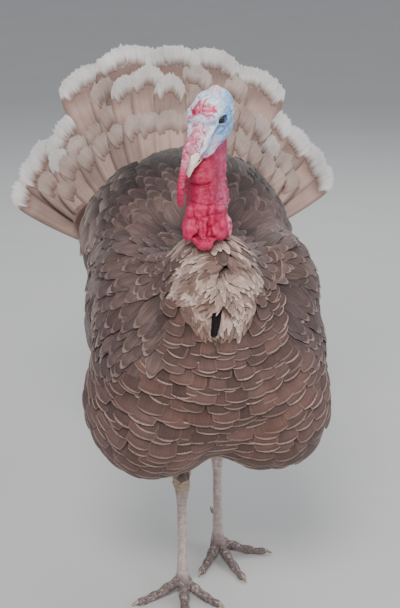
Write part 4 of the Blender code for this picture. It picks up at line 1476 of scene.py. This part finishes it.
# name, row, vane, material, place forward, facing, locks at each tip, slot and node of each part
fanParts = (
    ("tail_quills", "quills", quillVane, quillMaterial, 0.0, 1, 30, "tail_feather", "tail_fan"),
    ("tail_coverts_long", "long", covertVane, quillMaterial, 0.012, 1, 20, "tail_feather", "coverts_long"),
    ("tail_coverts_short", "short", covertVane, quillMaterial, 0.024, 1, 16, "tail_feather", "coverts_short"),
    ("tail_coverts_base", "base", covertVane, coatMaterial, 0.033, 1, 0, "plumage", "coverts_short"),
    ("tail_under", "under", covertVane, quillMaterial, -0.014, -1, 18, "tail_feather", "tail_fan"),
    ("tail_vent", "vent", covertVane, coatMaterial, -0.021, -1, 0, "plumage", "tail_fan"),
)
for name, row, *settings in fanParts:
    makeFan(name, tail[row], *settings)

# the wings: closed flight feathers and the coverts over them
wing = {
    # count, first and last root (back, up), heading (back, up), length first and last, width, sink
    "primaries": (8, (0.075, 0.335), (0.100, 0.292), (0.88, -0.47), (0.205, 0.200), 0.034, 0.0040),
    "secondaries": (12, (0.010, 0.468), (0.055, 0.335), (0.915, -0.40), (0.225, 0.205), 0.038, 0.0025),
    "greater": (11, (-0.035, 0.486), (0.005, 0.330), (0.88, -0.47), (0.110, 0.100), 0.044, 0.0015),
    "median": (11, (-0.070, 0.492), (-0.030, 0.325), (0.84, -0.54), (0.080, 0.075), 0.043, 0.0010),
}
wingFeather = {"lift": 0.0045, "arch": 0.0012, "deeper": 0.0040, "thick": 0.0006}
wingLook = dict(
    mantleLook, warm=(0.165, 0.100, 0.084), cool=(0.125, 0.094, 0.092), edgeAt=0.965, edgeSoft=0.015,
    rim=0.85, rootTo=0.35, band=0.95, barbs=50, shaft=0.35, edgeColour=(0.44, 0.33, 0.30))
wingMaterial = featherMaterial("wingFeather", wingLook)
flightVane = makeVane(6, 14, 0.55, 0.70, 0.52, 0.035)


def makeWing(side):
    sign = sides[side]
    bm = bmesh.new()
    cadCopy(bm, "wing_" + side, "primaries_" + side)
    form = fused("wingForm", bm, 0.005, 6)
    wingTree = treeOf(form)
    dropObject(form)
    plumage = Plumage(flightVane)
    for count, first, last, heading, lengths, wide, sink in wing.values():
        for k in range(count):
            t = k / (count - 1)
            y, z = first[0] + (last[0] - first[0]) * t, first[1] + (last[1] - first[1]) * t
            hit = wingTree.ray_cast(Vector((sign * 0.4, y, z)), Vector((-sign, 0, 0)))[0]
            if hit is None:
                hit = wingTree.find_nearest(Vector((sign * 0.14, y, z)))[0]
            ahead = Vector((0, heading[0], heading[1] - 0.05 + 0.10 * t))
            length = (lengths[0] + (lengths[1] - lengths[0]) * t) * dice.uniform(0.97, 1.03)
            width = wide * dice.uniform(0.95, 1.05)
            laid = layOn(wingTree, flightVane, hit, ahead, length, width, wingFeather["lift"],
                         wingFeather["arch"], sink + wingFeather["deeper"] * t)
            tint = (dice.uniform(0.3, 0.9), dice.uniform(0.6, 1.0), 0.0, dice.random())
            n = len(plumage.patches)
            plumage.add(laid, tint, (0.012 + 0.0232 * (n % 42 + 0.5), 0.5, 0.018, 0.94))
    nodeNames = ["wing_" + side, "primaries_" + side]
    plumage.join("wing_feathers_" + side, wingFeather["thick"], "wing_feather", nodeNames, wingMaterial)


for side in sides:
    makeWing(side)

beard = {
    "strands": 90, "width": 0.0026, "arch": 0.0003, "thick": 0.0010,
    "path": (onBody(-0.012, -0.402, 0.547), onBody(-0.016, -0.436, 0.531), onBody(-0.025, -0.450, 0.503)),
    "gather": (0.5, 1.0, 0.55),  # how wide the strands stand at the start, the bend and the end
    "spread": (0.0088, 0.0045),
    "long": (0.82, 1.08),
    "dark": (0.004, 0.003, 0.004), "pale": (0.016, 0.012, 0.011),
}


def beardMaterial():
    board = Board("beardHair", Roughness=0.75, Specular_IOR_Level=0.2)
    grain = board.noise(board.place(), 700, 3)
    board.feed(Base_Color=board.mix(board.step(grain, 0.3, 0.7), beard["dark"], beard["pale"]))
    board.bump(grain, 0.0004, 0.5)
    return board.material


def makeBeard():
    plumage = Plumage(lockVane)
    wide, deep = beard["spread"]
    for n in range(beard["strands"]):
        turn, away = dice.uniform(0, 2 * math.pi), dice.uniform(0, 1) ** 0.5
        spread = Vector((math.cos(turn) * wide, math.sin(turn) * deep, math.sin(turn) * deep)) * away
        long = dice.uniform(*beard["long"])
        start, bend, end = (p + spread * s for p, s in zip(beard["path"], beard["gather"]))
        end = bend + (end - bend) * long
        normal = Vector((math.cos(turn), -abs(math.sin(turn)) - 0.2, 0.1)).normalized()
        side = (end - start).normalized().cross(normal).normalized()
        laid = layAlong(lockVane, bentLine(start, bend, end), side, normal, beard["width"], beard["arch"])
        plumage.add(laid, (dice.random(), 0.0, 0.0, dice.random()), (0.02 + 0.0105 * n, 0.5, 0.006, 0.9))
    plumage.join("beard_bristles", beard["thick"], "beard_hair", ["beard"], beardMaterial())


makeBeard()

horn = {
    "bill": ((0.98, 0.94, 0.80), (0.88, 0.76, 0.60)),  # pale and dark
    "claw": ((0.50, 0.42, 0.32), (0.16, 0.11, 0.085)),
    "nostril": (0.058, 0.0015, 0.0030, 0.0014, 0.0018),  # ahead, up, length, height, depth
}


def hornMaterial(name, base, dark):
    board = Board(name, Roughness=0.38, Specular_IOR_Level=0.5, Subsurface_Weight=0.08,
                  Subsurface_Scale=0.003)
    place = board.place()
    long = board.noise(place, 160, 4)
    fine = board.noise(place, 700, 2)
    board.feed(Base_Color=board.mix(board.step(long, 0.35, 0.70), base, dark))
    board.feed(Roughness=board.step(fine, 0.3, 0.7, 0.30, 0.48))
    board.bump(long * 0.6 + fine * 0.4, 0.0004, 0.4)
    return board.material


def smoothCopy(name, nodeNames, levels, material):
    bm = bmesh.new()
    cadCopy(bm, *nodeNames)
    piece = objectFrom(name, bm)
    withModifier(piece, "SUBSURF", levels=levels, render_levels=levels)
    applyAll(piece)
    piece.data.materials.clear()
    piece.data.shade_smooth()
    finishPiece(piece, "horn", nodeNames, material)
    return piece


def sinkNostrils(mesh):
    co, no = coordsOf(mesh), normalsOf(mesh)
    own = inHead(co)
    ahead, up, long, high, deep = horn["nostril"]
    gap = np.exp(-(((own[:, 0] - ahead) / long) ** 2 + ((own[:, 2] - up) / high) ** 2))
    for sign in sides.values():
        co -= no * (deep * gap * (own[:, 1] * sign > 0.003))[:, None]
    setCoords(mesh, co)


billHorn = hornMaterial("billHorn", *horn["bill"])
clawHorn = hornMaterial("clawHorn", *horn["claw"])
upperBill = smoothCopy("bill_upper_horn", ["bill_upper"], 2, billHorn)
sinkNostrils(upperBill.data)
smoothCopy("bill_lower_horn", ["bill_lower"], 2, billHorn)
smoothCopy("claws", [f"claw_{side}_{toe}" for side in sides for toe in toes], 1, clawHorn)
smoothCopy("spurs", ["spur_" + side for side in sides], 1, clawHorn)
say("bill, claws and spurs")

eye = {
    "gaze": (0.30, 1.0, 0.06),  # ahead, outwards, up
    "bulge": 0.06,  # how much the clear front stands out
    "pupil": (0.34, 0.39), "rim": (0.60, 0.70),  # shares of the radius
    "pupilColour": (0.004, 0.003, 0.003), "rimColour": (0.020, 0.012, 0.010),
    "irisDark": (0.016, 0.008, 0.006), "irisPale": (0.040, 0.018, 0.010),
}


def eyeMaterial(name):
    board = Board(name, Roughness=0.08, Specular_IOR_Level=0.35, Coat_Weight=0.35, Coat_Roughness=0.03)
    across, up, _ = board.split(board.uv("iris"))
    dx, dy = across * 2 - 1, up * 2 - 1
    ring = (dx * dx + dy * dy).math("SQRT")
    streak = board.noise(board.uv("iris"), 40, 2)
    iris = board.mix(board.step(streak, 0.3, 0.7), eye["irisDark"], eye["irisPale"])
    colour = board.mix(board.step(ring, *eye["pupil"]), eye["pupilColour"], iris)
    board.feed(Base_Color=board.mix(board.step(ring, *eye["rim"]), colour, eye["rimColour"]))
    return board.material


def makeEye(side):
    low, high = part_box("eye_" + side)
    radius = (high.z - low.z) / 2
    ahead, outward, up = eye["gaze"]
    gaze = (headTurn @ Vector((ahead, sides[side] * outward, up))).normalized()
    turn = gaze.to_track_quat("Z", "Y").to_matrix().to_4x4()
    bm = bmesh.new()
    bmesh.ops.create_uvsphere(bm, u_segments=40, v_segments=28, radius=radius)
    for vert in bm.verts:
        vert.co.z += eye["bulge"] * radius * max(0.0, vert.co.z / radius - 0.7) / 0.3
    piece = objectFrom("eyeball_" + side, bm)
    rings = piece.data.uv_layers.new(name="iris")
    for loop in piece.data.loops:
        co = piece.data.vertices[loop.vertex_index].co
        rings.data[loop.index].uv = (0.5 + 0.5 * co.x / radius, 0.5 + 0.5 * co.y / radius)
    piece.data.transform(Matrix.Translation(middleOf("eye_" + side)) @ turn)
    piece.data.shade_smooth()
    finishPiece(piece, "eye", ["eye_" + side], eyeMaterial("eye_" + side))


for side in sides:
    makeEye(side)
say("eyes")

stage = {
    "floorSize": 14.0, "floorColours": ((0.60, 0.60, 0.59), (0.66, 0.66, 0.65)),
    "sky": (0.86, 0.89, 0.95, 1), "skyStrength": 0.46,
    "camera": (-0.3434, -1.9591, 1.111), "aim": (0.0366, 0.1949, 0.400), "lens": 80,
    # name, place, aim, size, power, colour
    "lights": (
        ("key", (-0.7, -2.5, 2.9), (0, 0, 0.4), 1.3, 92, (1.0, 0.98, 0.95)),
        ("fill", (2.2, -1.6, 1.6), (0, 0, 0.4), 2.0, 26, (0.93, 0.96, 1.0)),
        ("back", (0.8, 2.4, 2.6), (0, 0, 0.5), 1.8, 40, (1, 1, 1)),
    ),
}


def pointAt(obj, place, aim):
    obj.location = place
    obj.rotation_euler = (Vector(aim) - obj.location).to_track_quat("-Z", "Y").to_euler()


def makeFloor():
    bm = bmesh.new()
    bmesh.ops.create_grid(bm, x_segments=1, y_segments=1, size=stage["floorSize"])
    floor = objectFrom("floor", bm)
    board = Board("paleFloor", Roughness=0.85)
    board.feed(Base_Color=board.mix(board.noise(board.place(), 3.0, 4), *stage["floorColours"]))
    floor.data.materials.append(board.material)


def makeLights():
    for name, place, aim, size, power, colour in stage["lights"]:
        light = bpy.data.lights.new(name, "AREA")
        light.shape = "DISK"
        light.size, light.energy, light.color = size, power, colour
        pointAt(newObject(name, light), place, aim)
    world = bpy.data.worlds.new("studio")
    bpy.context.scene.world = world
    world.use_nodes = True
    background = world.node_tree.nodes["Background"]
    background.inputs["Color"].default_value = stage["sky"]
    background.inputs["Strength"].default_value = stage["skyStrength"]


def makeCamera():
    data = bpy.data.cameras.new("camera")
    data.lens, data.sensor_width, data.sensor_fit = stage["lens"], 36, "AUTO"
    camera = newObject("camera", data)
    pointAt(camera, stage["camera"], stage["aim"])
    bpy.context.scene.camera = camera


makeFloor()
makeCamera()
makeLights()
say("floor, camera and lights")

dropObject(bodyForm)
